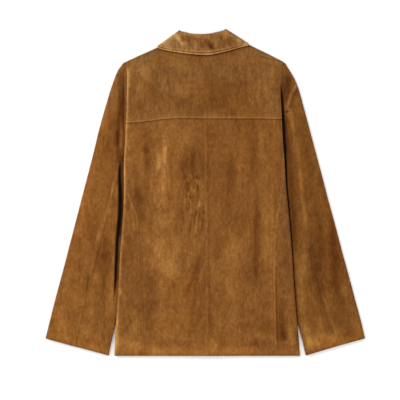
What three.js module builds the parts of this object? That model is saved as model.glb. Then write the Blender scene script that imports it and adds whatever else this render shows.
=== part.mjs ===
// A hip-length suede jacket laid flat on its front, with its back up and its sleeves beside it.
// Millimetres. +Z is up, +Y runs from the hem to the collar, and the origin is under the middle of the jacket.
// Left and right are those of the picture, which are also the wearer's, because the back is seen.
import * as THREE from "three";

// Cloth
const WALL = 1.6; // one layer of suede
const COLLAR_WALL = 1.8; // the turned-down collar
const SEAM = 0.3; // gap between two sewn pieces
const REST = 0.4; // gap between two layers that lie on each other

// Heights of a layer's middle surface
const FLOOR_LAYER = WALL / 2;
const BACK_LAYER = 6.2; // the back where only the fronts lie under it
const FOLD_LAYER = 5.0; // a sleeve's upper layer at its outer fold
const TUCKED_LAYER = 3.6; // a sleeve's upper layer where the body lies on it
const FREE_LAYER = 4.8; // a sleeve's upper layer at its inner fold near the cuff
const SLEEVE_RISE = 4.8; // how far a sleeve lifts the side of the body
const ARMHOLE_RISE = 1.0; // how far the back stands up along the armhole
const CENTRE_RISE = 2.6; // the back over the buttons and the two laps of the front
const NECK_RISE = 1.8; // the back under the collar
const COLLAR_RISE = 2.7; // a front over the collar that lies on the floor

// Lengths
const HEM_Y = -367;
const ARMPIT_Y = 76; // where the sleeve, side and back meet on the upper layer
const UNDERARM_Y = 61.5; // the same on the lower layer
const SIDE_TOP_UNDER_Y = 17; // top of a side panel on the lower layer
const YOKE_LAP = 8; // the yoke overlaps the back panels by this much
const FRONT_LAP = 16; // each front passes the centre by this much
const COLLAR_TURN = 1.3; // radius of the collar's fold over its stand

// Buttons
const BUTTON_RADIUS = 10;
const BUTTON_HEIGHT = 2.8;
const BUTTON_RIM = 2.2;
const BUTTON_DISH = 0.7;
const BUTTON_TOP_Y = 214;
const BUTTON_STEP = 105;
const BUTTON_COUNT = 5;
const BUTTON_SIDES = 20;

const SUEDE = { color: 0x8a5b2b, roughness: 0.95, metalness: 0 };
const HORN = { color: 0x3a2417, roughness: 0.45, metalness: 0 };

// The sleeves' outer folds, from the shoulder to the cuff
const SLEEVE_OUTER = [
  { y: 291, left: -185.5, right: 179.2 },
  { y: 283, left: -192.2, right: 185.8 },
  { y: 276, left: -197, right: 191 },
  { y: 249, left: -208, right: 206 },
  { y: 222, left: -217, right: 215 },
  { y: 195, left: -225, right: 222 },
  { y: 141, left: -240, right: 236 },
  { y: 87, left: -253, right: 250 },
  { y: 33, left: -267, right: 264 },
  { y: -21, left: -281, right: 278 },
  { y: -75, left: -295, right: 293 },
  { y: -129, left: -309, right: 307 },
  { y: -183, left: -323, right: 322 },
  { y: -237, left: -338, right: 337 },
  { y: -291, left: -352, right: 352 },
  { y: -328, left: -361, right: 361 },
];
// The sleeves' inner folds, from under the armpit to the cuff
const SLEEVE_INNER = [
  { y: 13, left: -120, right: 116 },
  { y: -23, left: -123, right: 121 },
  { y: -75, left: -136, right: 136 },
  { y: -131, left: -153, right: 155 },
  { y: -188, left: -171, right: 176 },
  { y: -241, left: -189, right: 192 },
  { y: -280, left: -201, right: 202 },
  { y: -313, left: -207, right: 213 },
  { y: -367, left: -218, right: 226 },
];
// The seam along the back of each sleeve, from the armpit to the cuff
const SLEEVE_BACK_SEAM = [
  { y: 76, left: -185, right: 181.5 },
  { y: 51, left: -197, right: 191 },
  { y: 6, left: -211, right: 204 },
  { y: -50, left: -225, right: 215 },
  { y: -118, left: -242, right: 231 },
  { y: -220, left: -269, right: 260 },
  { y: -324, left: -293, right: 290 },
  { y: -350, left: -299, right: 300 },
];
// The seam along the underside of each sleeve, from the armhole to the cuff
const SLEEVE_FRONT_SEAM = [
  { y: 61.5, left: -132, right: 128 },
  { y: 20, left: -146, right: 142 },
  { y: -23, left: -152, right: 149 },
  { y: -75, left: -165, right: 164 },
  { y: -188, left: -200, right: 203 },
  { y: -313, left: -236, right: 240 },
  { y: -362, left: -246, right: 252 },
];
// The armhole on the upper layer, and the body's side edge below it
const BODY_EDGE = [
  { y: 290, left: -181, right: 175 },
  { y: 265, left: -177, right: 170 },
  { y: 231, left: -177, right: 169 },
  { y: 186, left: -178, right: 171 },
  { y: 152, left: -180, right: 174 },
  { y: 119, left: -181, right: 176 },
  { y: 76, left: -184, right: 180.5 },
  { y: 29, left: -184, right: 183 },
  { y: -32, left: -184, right: 188 },
  { y: -95, left: -187, right: 194 },
  { y: -156, left: -190, right: 198 },
  { y: -219, left: -195, right: 202 },
  { y: -282, left: -199, right: 208 },
  { y: -367, left: -205, right: 213 },
];
// The outer side of the back panels: the armhole, then the seam with the side panel
const BACK_SIDE = [
  { y: 119, left: -180.7, right: 175.7 },
  { y: 87, left: -182.8, right: 178.9 },
  { y: 71, left: -180, right: 176 },
  { y: 38, left: -179.2, right: 175 },
  { y: 15, left: -177, right: 171 },
  { y: -12, left: -168, right: 166.5 },
  { y: -34, left: -160, right: 164 },
  { y: -103, left: -154.5, right: 156.5 },
  { y: -174, left: -152, right: 155 },
  { y: -266, left: -146.5, right: 157.5 },
  { y: -367, left: -141, right: 160 },
];
// The armhole on the layer that lies on the floor
const FRONT_ARMHOLE = [
  { y: 290, left: -181, right: 175 },
  { y: 244, left: -164, right: 158 },
  { y: 188, left: -152, right: 146 },
  { y: 130, left: -145, right: 140 },
  { y: 86, left: -138, right: 134 },
  { y: 61.5, left: -132, right: 128 },
  { y: 13, left: -119, right: 115 },
];
// The seam between a front and its side panel, on the lower layer
const SIDE_FRONT_SEAM = [
  { y: 18, left: -125, right: 121 },
  { y: -100, left: -132, right: 130 },
  { y: -367, left: -150, right: 152 },
];
// The yoke's lower edge across the back
const YOKE_EDGE = [
  { x: -182, y: 156 },
  { x: -147, y: 158 },
  { x: -91, y: 165 },
  { x: -57, y: 167 },
  { x: 0, y: 166 },
  { x: 100, y: 166 },
  { x: 175, y: 165 },
];
// The edge of the yoke, from one shoulder round the back of the neck to the other
const YOKE_TOP = [
  { x: -188, y: 291 },
  { x: -148, y: 309.5 },
  { x: -108, y: 327 },
  { x: -84, y: 337.5 },
  { x: -75, y: 335.5 },
  { x: -57, y: 330 },
  { x: -30, y: 326.5 },
  { x: 0, y: 325.5 },
  { x: 28, y: 328 },
  { x: 46, y: 334 },
  { x: 60, y: 343 },
  { x: 68, y: 347 },
  { x: 98, y: 333 },
  { x: 140, y: 313 },
  { x: 180, y: 292.5 },
];
// The edge of the fronts, from one shoulder round the front of the neck to the other
const FRONT_TOP = [
  { x: -188, y: 291 },
  { x: -148, y: 309.5 },
  { x: -108, y: 327 },
  { x: -84, y: 337.5 },
  { x: -75, y: 332 },
  { x: -66, y: 307 },
  { x: -47, y: 275 },
  { x: -22, y: 256 },
  { x: 0, y: 251 },
  { x: 22, y: 257 },
  { x: 42, y: 281 },
  { x: 54, y: 312 },
  { x: 60, y: 341 },
  { x: 68, y: 347 },
  { x: 98, y: 333 },
  { x: 140, y: 313 },
  { x: 180, y: 292.5 },
];
// Where the columns of the yoke stand at the shoulders and round the neck
const YOKE_COLUMNS = [
  -181, -165, -148, -130, -113, -98, -84, -75, -66, -57, -44, -30, -15, 0,
  14, 28, 38, 46, 53, 60, 68, 83, 98, 115, 132, 150, 163, 175,
];
const YOKE_NECK = { first: 7, last: 19 };
// The same for the two fronts, from the edge past the centre
const FRONT_COLUMNS = [
  { left: 16, right: -16 },
  { left: 0, right: 0 },
  { left: -12, right: 12 },
  { left: -23, right: 22 },
  { left: -35, right: 32 },
  { left: -47, right: 41 },
  { left: -57, right: 49 },
  { left: -66, right: 55 },
  { left: -75, right: 60 },
  { left: -84, right: 68 },
  { left: -98, right: 83 },
  { left: -113, right: 98 },
  { left: -130, right: 115 },
  { left: -148, right: 132 },
  { left: -165, right: 150 },
  { left: -181, right: 175 },
];
const FRONT_NECK = { first: 1, last: 8 };
// The rows of the body below the armpits, at its upper layer
const BODY_ROWS = [-367, -345, -322, -298, -268, -236, -204, -172, -140, -108, -76, -48, -22, 0, 20, 38, 55, 71];
// The rows of the fronts above their side seams
const FRONT_ROWS = [33, 47, 61.5, 86, 115, 150, 188];

// How far down the front the collar reaches, where it lies on the floor
const COLLAR_REACH = [
  { x: -150, y: 370 },
  { x: -112, y: 312 },
  { x: -97, y: 282 },
  { x: -78, y: 249 },
  { x: -55, y: 221 },
  { x: -30, y: 249 },
  { x: -3, y: 277 },
  { x: 3, y: 277 },
  { x: 30, y: 250 },
  { x: 53, y: 222 },
  { x: 76, y: 250 },
  { x: 92, y: 284 },
  { x: 102, y: 312 },
  { x: 140, y: 370 },
];
// The fold and the outer edge of the collar, seen from above: the left front, the back and the right front
const COLLAR_FOLD = {
  left: [[-2, 276], [-20, 283], [-38, 303], [-51, 331], [-56, 359.5]],
  back: [[-56, 359.5], [-46, 357.5], [-30, 355], [-10, 353.8], [8, 354], [26, 357], [44, 361.5]],
  right: [[2, 276], [18, 285], [33, 308], [43, 337], [44, 361.5]],
};
const COLLAR_EDGE = {
  left: [[-54, 223], [-77, 256], [-95, 290], [-106.3, 324.8]],
  back: [
    [-106.3, 324.8], [-94, 321.3], [-78, 318.2], [-57, 314.8], [-35, 312], [-12, 310], [6, 310],
    [24, 312.5], [46, 317.5], [66, 323], [82, 327.8], [95.3, 330.6],
  ],
  right: [[52, 224], [75, 259], [90, 296], [95.3, 330.6]],
};
// Which way the collar's rings bulge at the left and right sides of the neck
const NECK_OUT = { left: [-0.5, 0.87], right: [0.3, 0.95] };
const FOLD_OUT = { left: [-0.7, 0.71], right: [0.7, 0.71] };
const EDGE_OUT = { left: [-0.43, 0.9], right: [0.44, 0.9] };

// Soft ridges and troughs of the upper layers: where each starts and ends, how wide and how high it is
const FOLDS = [
  { x0: -12, y0: -95, x1: -42, y1: -331, width: 13, height: -1.0 },
  { x0: -69, y0: -16, x1: -92, y1: -250, width: 17, height: 1.2 },
  { x0: -122, y0: -70, x1: -128, y1: -320, width: 13, height: -1.1 },
  { x0: -102, y0: 141, x1: -96, y1: -20, width: 17, height: 0.9 },
  { x0: 60, y0: 120, x1: 74, y1: -160, width: 18, height: 0.9 },
  { x0: 100, y0: 60, x1: 112, y1: -331, width: 15, height: -1.1 },
  { x0: 139, y0: 60, x1: 141, y1: -309, width: 11, height: 1.1 },
  { x0: 52, y0: -120, x1: 38, y1: -340, width: 16, height: 1.0 },
  { x0: -60, y0: 300, x1: -88, y1: 190, width: 16, height: -0.8 },
  { x0: 68, y0: 300, x1: 92, y1: 195, width: 18, height: -0.8 },
  { x0: -205, y0: 70, x1: -236, y1: -140, width: 9, height: 2.2 },
  { x0: -228, y0: 60, x1: -262, y1: -150, width: 10, height: -0.9 },
  { x0: -258, y0: -150, x1: -300, y1: -300, width: 12, height: 0.9 },
  { x0: 207, y0: 250, x1: 186, y1: 216, width: 6, height: 1.6 },
  { x0: 188, y0: 226, x1: 184, y1: 180, width: 6, height: 1.2 },
  { x0: 192, y0: 150, x1: 210, y1: -20, width: 9, height: 2.0 },
  { x0: 207, y0: 20, x1: 232, y1: -160, width: 9, height: 1.6 },
  { x0: 236, y0: 150, x1: 262, y1: -80, width: 13, height: -0.8 },
  { x0: 272, y0: -110, x1: 318, y1: -300, width: 13, height: 0.9 },
];

const SIDES = ["left", "right"];
const outward = { left: -1, right: 1 };
const mix = (a, b, t) => a + (b - a) * t;
const smooth = THREE.MathUtils.smoothstep;
const highest = (...heights) => heights.reduce((sum, h) => sum + Math.max(h, 0) ** 4, 0) ** 0.25;
const above = (a, b) => (a + b + Math.sqrt((a - b) ** 2 + 0.6)) / 2;

// One column of a table as a smooth curve that never overshoots its rows.
function column(rows, from, name) {
  const sorted = [...rows].sort((a, b) => a[from] - b[from]);
  const at = sorted.map((row) => row[from]);
  const value = sorted.map((row) => row[name]);
  const rise = at.slice(1).map((x, i) => (value[i + 1] - value[i]) / (x - at[i]));
  const slope = at.map((_, i) => {
    const before = rise[i - 1] ?? rise[i];
    const after = rise[i] ?? before;
    return before * after > 0 ? (2 * before * after) / (before + after) : 0;
  });
  return (x) => {
    let i = at.findIndex((a) => a > x) - 1;
    if (i === -2) i = at.length - 2;
    i = Math.max(i, 0);
    const width = at[i + 1] - at[i];
    const t = THREE.MathUtils.clamp((x - at[i]) / width, 0, 1);
    const bend = width * (slope[i] * t * (1 - t) ** 2 - slope[i + 1] * t ** 2 * (1 - t));
    return value[i] + (value[i + 1] - value[i]) * t * t * (3 - 2 * t) + bend;
  };
}
const sides = (rows) => ({ left: column(rows, "y", "left"), right: column(rows, "y", "right") });

const sleeveOuter = sides(SLEEVE_OUTER);
const sleeveInner = sides(SLEEVE_INNER);
const sleeveBackSeam = sides(SLEEVE_BACK_SEAM);
const sleeveFrontSeam = sides(SLEEVE_FRONT_SEAM);
const bodyEdge = sides(BODY_EDGE);
const backSide = sides(BACK_SIDE);
const frontArmhole = sides(FRONT_ARMHOLE);
const sideFrontSeam = sides(SIDE_FRONT_SEAM);
const yokeEdge = column(YOKE_EDGE, "x", "y");
const yokeTop = column(YOKE_TOP, "x", "y");
const frontTop = column(FRONT_TOP, "x", "y");
const collarReach = column(COLLAR_REACH, "x", "y");
const centreBack = (y) => mix(4.7, 0, (y - HEM_Y) / 530);

// The sum of the soft folds at a point, each fading towards its two ends.
function folds(x, y) {
  return FOLDS.reduce((sum, f) => {
    const dx = f.x1 - f.x0;
    const dy = f.y1 - f.y0;
    const along = ((x - f.x0) * dx + (y - f.y0) * dy) / (dx * dx + dy * dy);
    const aside = ((x - f.x0) * dy - (y - f.y0) * dx) / Math.hypot(dx, dy);
    const ends = smooth(along, -0.1, 0.25) * smooth(1 - along, -0.1, 0.25);
    return sum + f.height * ends * Math.exp(-((aside / f.width) ** 2));
  }, 0);
}

// The middle of a sleeve's upper layer. It hangs from the armhole seam, and below that it is tucked under the body.
function sleeveHeight(side, x, y) {
  const fromFold = outward[side] * (sleeveOuter[side](y) - x);
  const fromBody = outward[side] * (x - bodyEdge[side](y));
  const level = FOLD_LAYER + 0.8 * smooth(fromFold, 0, 25);
  const atBody = mix(FREE_LAYER, TUCKED_LAYER, smooth(y, -345, -312));
  const tucked = mix(atBody, level, smooth(fromBody, -3, 15));
  const groove = 0.8 * Math.exp(-(((fromBody - 10) / 6) ** 2));
  const sewn = level + 1.4 * (1 - smooth(fromBody, 0, 6)) - groove;
  const hung = smooth(y, ARMPIT_Y - 1, ARMPIT_Y + 18);
  return mix(tucked, sewn, hung) + folds(x, y) * smooth(fromFold, 2, 16) * smooth(fromBody, 0, 9);
}

// How much of a sleeve's thickness lies under the body at a point, from 0 to 1.
function overSleeve(x, y) {
  const side = x < 0 ? "left" : "right";
  const inside = outward[side] * (x - sleeveInner[side](Math.min(y, 13)));
  const armpitLine = 13 + Math.max(inside, 0);
  const belowArmpit = 1 - smooth(y, armpitLine + 9, armpitLine + 32);
  return smooth(inside, -26, -5) * belowArmpit * smooth(y, -352, -312);
}

// The middle of the lower layer: fronts and side panels. It rises over the sleeves, the collar and the buttons.
function frontHeight(side, x, y) {
  const buttonRise = mix(BUTTON_HEIGHT + SEAM, COLLAR_RISE, smooth(y, 226, 250));
  const buttons = buttonRise * (1 - smooth(Math.abs(x), 12, 36));
  const collar = COLLAR_RISE * smooth(y - collarReach(x), -34, -8);
  const lap = side === "left" ? (WALL + REST) * (1 - smooth(Math.abs(x), FRONT_LAP + 2, FRONT_LAP + 18)) : 0;
  return FLOOR_LAYER + highest(buttons, collar, SLEEVE_RISE * overSleeve(x, y)) + lap;
}

// The middle of the upper layer: yoke, back panels and the tops of the side panels.
function backHeight(x, y) {
  const fromEdge = Math.min(x - bodyEdge.left(y), bodyEdge.right(y) - x);
  const sideRise = SLEEVE_RISE * smooth(y, -352, -300) * (1 - smooth(y, ARMPIT_Y - 20, ARMPIT_Y + 20));
  const edge = Math.max(sideRise, ARMHOLE_RISE * smooth(y, ARMPIT_Y - 20, ARMPIT_Y + 20));
  const soft = edge * Math.exp(-((fromEdge / 46) ** 2));
  const collared = smooth(y, 255, 298);
  const centre = CENTRE_RISE * Math.exp(-((x / 48) ** 2)) * (1 - collared);
  const neck = NECK_RISE * collared * (1 - smooth(Math.abs(x + 4), 95, 150));
  const level = BACK_LAYER + highest(soft, centre, neck);
  const creased = level + folds(x, y) * smooth(fromEdge, 0, 25) * (1 - smooth(y, 270, 310));
  return above(creased, frontHeight("left", x, y) + WALL + REST);
}

// A wall of cloth: two skins, half a wall out from each side of a surface given as rows of points, and a rim.
function cloth(rows, wall = WALL) {
  const last = rows.length - 1;
  const end = rows[0].length - 1;
  const at = (i, j) => rows[THREE.MathUtils.clamp(i, 0, last)][THREE.MathUtils.clamp(j, 0, end)];
  const skins = [1, -1].map((face) =>
    rows.map((row, i) =>
      row.map((point, j) => {
        const down = at(i + 1, j).clone().sub(at(i - 1, j));
        const across = at(i, j + 1).clone().sub(at(i, j - 1));
        const normal = down.cross(across).normalize();
        const onRim = i === 0 || j === 0 || i === last || j === end;
        if (onRim && Math.abs(normal.z) > 0.6) normal.set(0, 0, Math.sign(normal.z));
        if (onRim && Math.abs(normal.z) < 0.35) normal.setZ(0).normalize();
        return point.clone().addScaledVector(normal, (face * wall) / 2);
      }),
    ),
  );
  const positions = skins.flat(2).flatMap((p) => [p.x, p.y, p.z]);
  const index = (skin, i, j) => (skin * (last + 1) + i) * (end + 1) + j;
  const faces = [];
  const quad = (a, b, c, d) => faces.push(a, b, c, a, c, d);
  for (let i = 0; i < last; i++) {
    for (let j = 0; j < end; j++) {
      quad(index(0, i, j), index(0, i + 1, j), index(0, i + 1, j + 1), index(0, i, j + 1));
      quad(index(1, i, j), index(1, i, j + 1), index(1, i + 1, j + 1), index(1, i + 1, j));
    }
  }
  for (let i = 0; i < last; i++) {
    quad(index(0, i, 0), index(1, i, 0), index(1, i + 1, 0), index(0, i + 1, 0));
    quad(index(0, i + 1, end), index(1, i + 1, end), index(1, i, end), index(0, i, end));
  }
  for (let j = 0; j < end; j++) {
    quad(index(0, 0, j + 1), index(1, 0, j + 1), index(1, 0, j), index(0, 0, j));
    quad(index(0, last, j), index(1, last, j), index(1, last, j + 1), index(0, last, j + 1));
  }
  const geometry = new THREE.BufferGeometry();
  geometry.setAttribute("position", new THREE.Float32BufferAttribute(positions, 3));
  geometry.setIndex(volume(positions, faces) < 0 ? faces.reverse() : faces);
  return geometry;
}

// The volume inside a closed mesh, below zero where its faces point inwards.
function volume(positions, faces) {
  const corner = (i) => new THREE.Vector3().fromArray(positions, 3 * i);
  let sum = 0;
  for (let f = 0; f < faces.length; f += 3) {
    sum += corner(faces[f]).dot(corner(faces[f + 1]).cross(corner(faces[f + 2]))) / 6;
  }
  return sum;
}

// One row of cloth that runs out over the upper layer, turns round a soft fold, and comes back on the lower layer.
function foldedRow(top, edge, bottom, counts, upper, lower) {
  const away = edge.clone().sub(top).normalize().add(edge.clone().sub(bottom).normalize()).normalize();
  let radius = 2.4;
  let centre = edge.clone();
  for (let pass = 0; pass < 4; pass++) {
    centre = edge.clone().addScaledVector(away, -radius - WALL / 2);
    radius = (upper(centre.x, centre.y) - lower(centre.x, centre.y)) / 2;
  }
  const middle = lower(centre.x, centre.y) + radius;
  const row = [];
  for (let i = 0; i < counts.top; i++) {
    const p = top.clone().lerp(centre, i / counts.top);
    row.push(new THREE.Vector3(p.x, p.y, upper(p.x, p.y)));
  }
  for (let i = 0; i <= counts.turn; i++) {
    const angle = Math.PI * (0.5 - i / counts.turn);
    const p = centre.clone().addScaledVector(away, radius * Math.cos(angle));
    row.push(new THREE.Vector3(p.x, p.y, middle + radius * Math.sin(angle)));
  }
  for (let i = 1; i <= counts.bottom; i++) {
    const p = centre.clone().lerp(bottom, i / counts.bottom);
    row.push(new THREE.Vector3(p.x, p.y, lower(p.x, p.y)));
  }
  return row;
}

// Where a line from start along a direction meets a curve x = curve(y).
function meet(start, direction, curve) {
  let near = 0;
  let far = 260;
  const side = Math.sign(start.x - curve(start.y));
  for (let pass = 0; pass < 40; pass++) {
    const middle = (near + far) / 2;
    const p = start.clone().addScaledVector(direction, middle);
    if (Math.sign(p.x - curve(p.y)) === side) near = middle;
    else far = middle;
  }
  return start.clone().addScaledVector(direction, near);
}

// The rows of an upper sleeve, which runs from the armhole or the back seam over the outer fold to the front seam.
const SLEEVE_ROWS = { cap: 10, arm: 14, shoulder: 291, armpit: 94.2 };
function upperSleeveRows(side) {
  const out = outward[side];
  const topCurve = (y) => (y > ARMPIT_Y ? bodyEdge[side](y) : sleeveBackSeam[side](y)) + (out * SEAM) / 2;
  const underCurve = (y) =>
    y > UNDERARM_Y ? frontArmhole[side](y) + out * SEAM : sleeveFrontSeam[side](y) + (out * SEAM) / 2;
  const rows = [];
  for (let i = 0; i <= SLEEVE_ROWS.cap + SLEEVE_ROWS.arm; i++) {
    const cap = Math.min(i / SLEEVE_ROWS.cap, 1);
    const arm = Math.max(0, (i - SLEEVE_ROWS.cap) / SLEEVE_ROWS.arm);
    const y = mix(mix(SLEEVE_ROWS.shoulder, SLEEVE_ROWS.armpit, cap ** 1.6), -328, arm);
    const below = SLEEVE_ROWS.shoulder - y;
    const start = new THREE.Vector2(sleeveOuter[side](y), y);
    const capSlant = mix(-20, 33, smooth(below, 0, 12));
    const slant = THREE.MathUtils.degToRad(mix(capSlant, 15.4, smooth(below, 0, 120)));
    const inwards = new THREE.Vector2(-out * Math.cos(slant), -Math.sin(slant));
    const top = meet(start, inwards, topCurve);
    const under = meet(start, inwards, underCurve);
    rows.push(
      foldedRow(top, start, under, { top: 6, turn: 4, bottom: 5 },
        (x, v) => sleeveHeight(side, x, v),
        () => FLOOR_LAYER),
    );
  }
  return rows;
}

// The rows of an under sleeve: it starts and ends at the upper sleeve's two seams and turns round the inner fold.
function underSleeveRows(side, upperRows) {
  const inwards = -outward[side] * SEAM;
  const beside = (point) => new THREE.Vector2(point.x + inwards, point.y);
  return upperRows.slice(SLEEVE_ROWS.cap).map((upperRow, i) => {
    const foldY = mix(13, -366.4, i / SLEEVE_ROWS.arm);
    const fold = new THREE.Vector2(sleeveInner[side](foldY), foldY);
    return foldedRow(beside(upperRow[0]), fold, beside(upperRow.at(-1)), { top: 6, turn: 4, bottom: 2 },
      (x, v) => sleeveHeight(side, x, v),
      () => FLOOR_LAYER);
  });
}

// A row of the body's lower layer lies under each row of its upper layer, closer together than those.
const rowBelow = (y) => mix(HEM_Y, SIDE_TOP_UNDER_Y, (y - HEM_Y) / (BODY_ROWS.at(-1) - HEM_Y));

// A side panel: from its seam with the back over the body's edge and underneath to its seam with the front.
function sidePanel(side) {
  const out = outward[side];
  const rows = BODY_ROWS.map((y) => {
    const top = new THREE.Vector2(backSide[side](y) + (out * SEAM) / 2, y);
    const edge = new THREE.Vector2(bodyEdge[side](y), y);
    const under = new THREE.Vector2(sideFrontSeam[side](rowBelow(y)) + (out * SEAM) / 2, rowBelow(y));
    return foldedRow(top, edge, under, { top: 3, turn: 4, bottom: 6 },
      backHeight,
      (x, v) => frontHeight(side, x, v));
  });
  return cloth(rows);
}

// A back panel, from the centre seam to its armhole and side seam. Its top edge lies under the yoke.
function backPanel(side) {
  const out = outward[side];
  const across = 8;
  const upperRows = 6;
  const rows = [];
  for (let i = 0; i < BODY_ROWS.length + upperRows; i++) {
    const row = [];
    for (let j = 0; j <= across; j++) {
      let y = BODY_ROWS[Math.min(i, BODY_ROWS.length - 1)];
      let x = 0;
      for (let pass = 0; pass < 6; pass++) {
        const outer = y > 119 ? bodyEdge[side](y) - out * SEAM : backSide[side](y) - (out * SEAM) / 2;
        x = mix(centreBack(y) + (out * SEAM) / 2, outer, j / across);
        const share = (i - BODY_ROWS.length + 1) / upperRows;
        if (share > 0) y = mix(BODY_ROWS.at(-1), yokeEdge(x) + YOKE_LAP - SEAM, share);
      }
      row.push(new THREE.Vector3(x, y, backHeight(x, y)));
    }
    rows.push(row);
  }
  return cloth(rows);
}

// The last stretch of a panel, which turns by a right angle towards the other layer where it meets the shoulder.
function shoulderTurn(x, edgeY, height, other, share) {
  const neck = 1 - smooth(Math.abs(x + 7.5), 70, 79);
  const angle = (Math.PI / 2) * (1 - neck) + 1e-3;
  const bend = mix(Math.abs(height - other) / 2, 4 / angle, neck);
  const start = edgeY - (WALL / 2) * Math.sin(angle) - bend * Math.sin(angle);
  const y = start + bend * Math.sin(angle * share);
  const drop = bend * (1 - Math.cos(angle * share)) * (1 - SEAM / Math.abs(height - other));
  return new THREE.Vector3(x, y, height + Math.sign(other - height) * drop);
}

// The rows of the yoke: from its lower edge, which laps over the back panels, to the shoulders and the neck.
function yokeRows() {
  const lap = [0, YOKE_LAP, 15, 25];
  const [plain, turns] = [5, 3];
  const rows = [];
  for (let i = 0; i < lap.length + plain + turns; i++) {
    rows.push(YOKE_COLUMNS.map((place) => {
      const share = (place - YOKE_COLUMNS[0]) / (YOKE_COLUMNS.at(-1) - YOKE_COLUMNS[0]);
      let y = 200;
      let x = 0;
      let turned = null;
      for (let pass = 0; pass < 8; pass++) {
        x = mix(bodyEdge.left(y) + SEAM, bodyEdge.right(y) - SEAM, share);
        const edgeY = yokeTop(x);
        const turn = Math.max(0, (i - lap.length - plain + 1) / turns);
        turned = shoulderTurn(x, edgeY, backHeight(x, edgeY), frontHeight("right", x, edgeY), turn);
        if (i < lap.length) y = yokeEdge(x) + lap[i];
        else y = mix(yokeEdge(x) + lap.at(-1), turned.y, Math.min(1, (i - lap.length + 1) / plain));
      }
      if (i >= lap.length + plain) return turned;
      const lapped = (WALL + REST) * (1 - smooth(y - yokeEdge(x), YOKE_LAP + 1, 23));
      return new THREE.Vector3(x, y, backHeight(x, y) + lapped);
    }));
  }
  return rows;
}

// The rows of a front, from the hem to the neck and shoulder. Its columns run from its edge to the side and armhole.
function frontRows(side) {
  const out = outward[side];
  const fixed = [...BODY_ROWS.map(rowBelow), ...FRONT_ROWS];
  const [plain, turns] = [4, 3];
  const places = FRONT_COLUMNS.map((c) => c[side]);
  const sideOf = (y) =>
    y > 18 ? frontArmhole[side](y) - out * SEAM : sideFrontSeam[side](y) - (out * SEAM) / 2;
  const rows = [];
  for (let i = 0; i < fixed.length + plain + turns; i++) {
    rows.push(places.map((place) => {
      const share = (place - places[0]) / (places.at(-1) - places[0]);
      let y = fixed[Math.min(i, fixed.length - 1)];
      let x = 0;
      let turned = null;
      for (let pass = 0; pass < 14; pass++) {
        x = mix(-out * FRONT_LAP, sideOf(y), share);
        const edgeY = frontTop(x);
        const turn = Math.max(0, (i - fixed.length - plain + 1) / turns);
        turned = shoulderTurn(x, edgeY, frontHeight(side, x, edgeY), backHeight(x, edgeY), turn);
        const rise = Math.min(1, (i - fixed.length + 1) / plain);
        if (rise > 0) y = mix(y, mix(fixed.at(-1), turned.y, rise), 0.7);
      }
      if (i >= fixed.length + plain) return turned;
      return new THREE.Vector3(x, y, frontHeight(side, x, y));
    }));
  }
  return rows;
}

// The places where the collar's stand is sewn on, just clear of a panel's top edge.
function neckPlaces(row, neck) {
  return row.slice(neck.first, neck.last + 1).map((point, i) => {
    const before = row[neck.first + i - 1];
    const after = row[neck.first + i + 1];
    const along = new THREE.Vector2(after.x - before.x, after.y - before.y).normalize();
    const side = Math.sign(along.x);
    return new THREE.Vector3(point.x - along.y * REST * side, point.y + along.x * REST * side, point.z);
  });
}

// A curve through a short table of places, as evenly spaced points at given heights.
function spaced(table, heights) {
  const curve = new THREE.SplineCurve(table.map(([x, y]) => new THREE.Vector2(x, y)));
  return curve.getSpacedPoints(heights.length - 1).map((p, i) => new THREE.Vector3(p.x, p.y, heights[i]));
}

// One ring of the collar: the left front, a half turn, the back, a half turn and the right front.
function ring(left, back, right, out) {
  const turns = 5;
  const place = (point, side, angle) => ({ point, out: out[side], angle });
  const halfTurn = (under, over, side) => {
    const places = [];
    for (let i = 1; i < turns; i++) {
      const angle = Math.PI * (i / turns - 0.5);
      const radius = (over.z - under.z) / 2;
      const point = under.clone().lerp(over, i / turns);
      point.x += out[side][0] * radius * Math.cos(angle);
      point.y += out[side][1] * radius * Math.cos(angle);
      point.z = under.z + radius + radius * Math.sin(angle);
      places.push(place(point, side, angle));
    }
    return places;
  };
  return [
    ...left.map((p) => place(p, "left", -Math.PI / 2)),
    ...halfTurn(left.at(-1), back[0], "left"),
    ...back.map((p, i) => place(p, i < back.length / 2 ? "left" : "right", Math.PI / 2)),
    ...halfTurn(right.at(-1), back.at(-1), "right").reverse(),
    ...right.map((p) => place(p, "right", -Math.PI / 2)).reverse(),
  ];
}

// The collar's stand, between the neck seam and the fold.
function collarStand(neckRing, foldRing) {
  return [0, 0.5, 0.97].map((share) => neckRing.map((p, i) => p.point.clone().lerp(foldRing[i].point, share)));
}

// The collar's fall: it turns over the top of the stand and lies on the yoke and, in front, on the floor.
function collarFall(neckRing, foldRing, edgeRing) {
  const [turns, plain] = [4, 5];
  const rows = [];
  for (let i = 0; i <= turns + plain; i++) {
    rows.push(foldRing.map((p, k) => {
      const along = foldRing[Math.min(k + 1, foldRing.length - 1)].point.clone();
      along.sub(foldRing[Math.max(k - 1, 0)].point).normalize();
      const up = p.point.clone().sub(neckRing[k].point);
      up.addScaledVector(along, -up.dot(along)).normalize();
      const aside = Math.cos(p.angle);
      const outwards = new THREE.Vector3(p.out[0] * aside, p.out[1] * aside, Math.sin(p.angle));
      const angle = Math.PI * Math.min(i / turns, 1);
      const radius = aside < 0.01 && p.angle < 0 ? (p.point.z - COLLAR_WALL / 2) / 2 : COLLAR_TURN;
      return p.point.clone()
        .addScaledVector(outwards, radius * (1 - Math.cos(angle)))
        .addScaledVector(up, radius * Math.sin(angle))
        .lerp(edgeRing[k].point, Math.max(0, (i - turns) / plain));
    }));
  }
  return rows;
}

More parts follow.
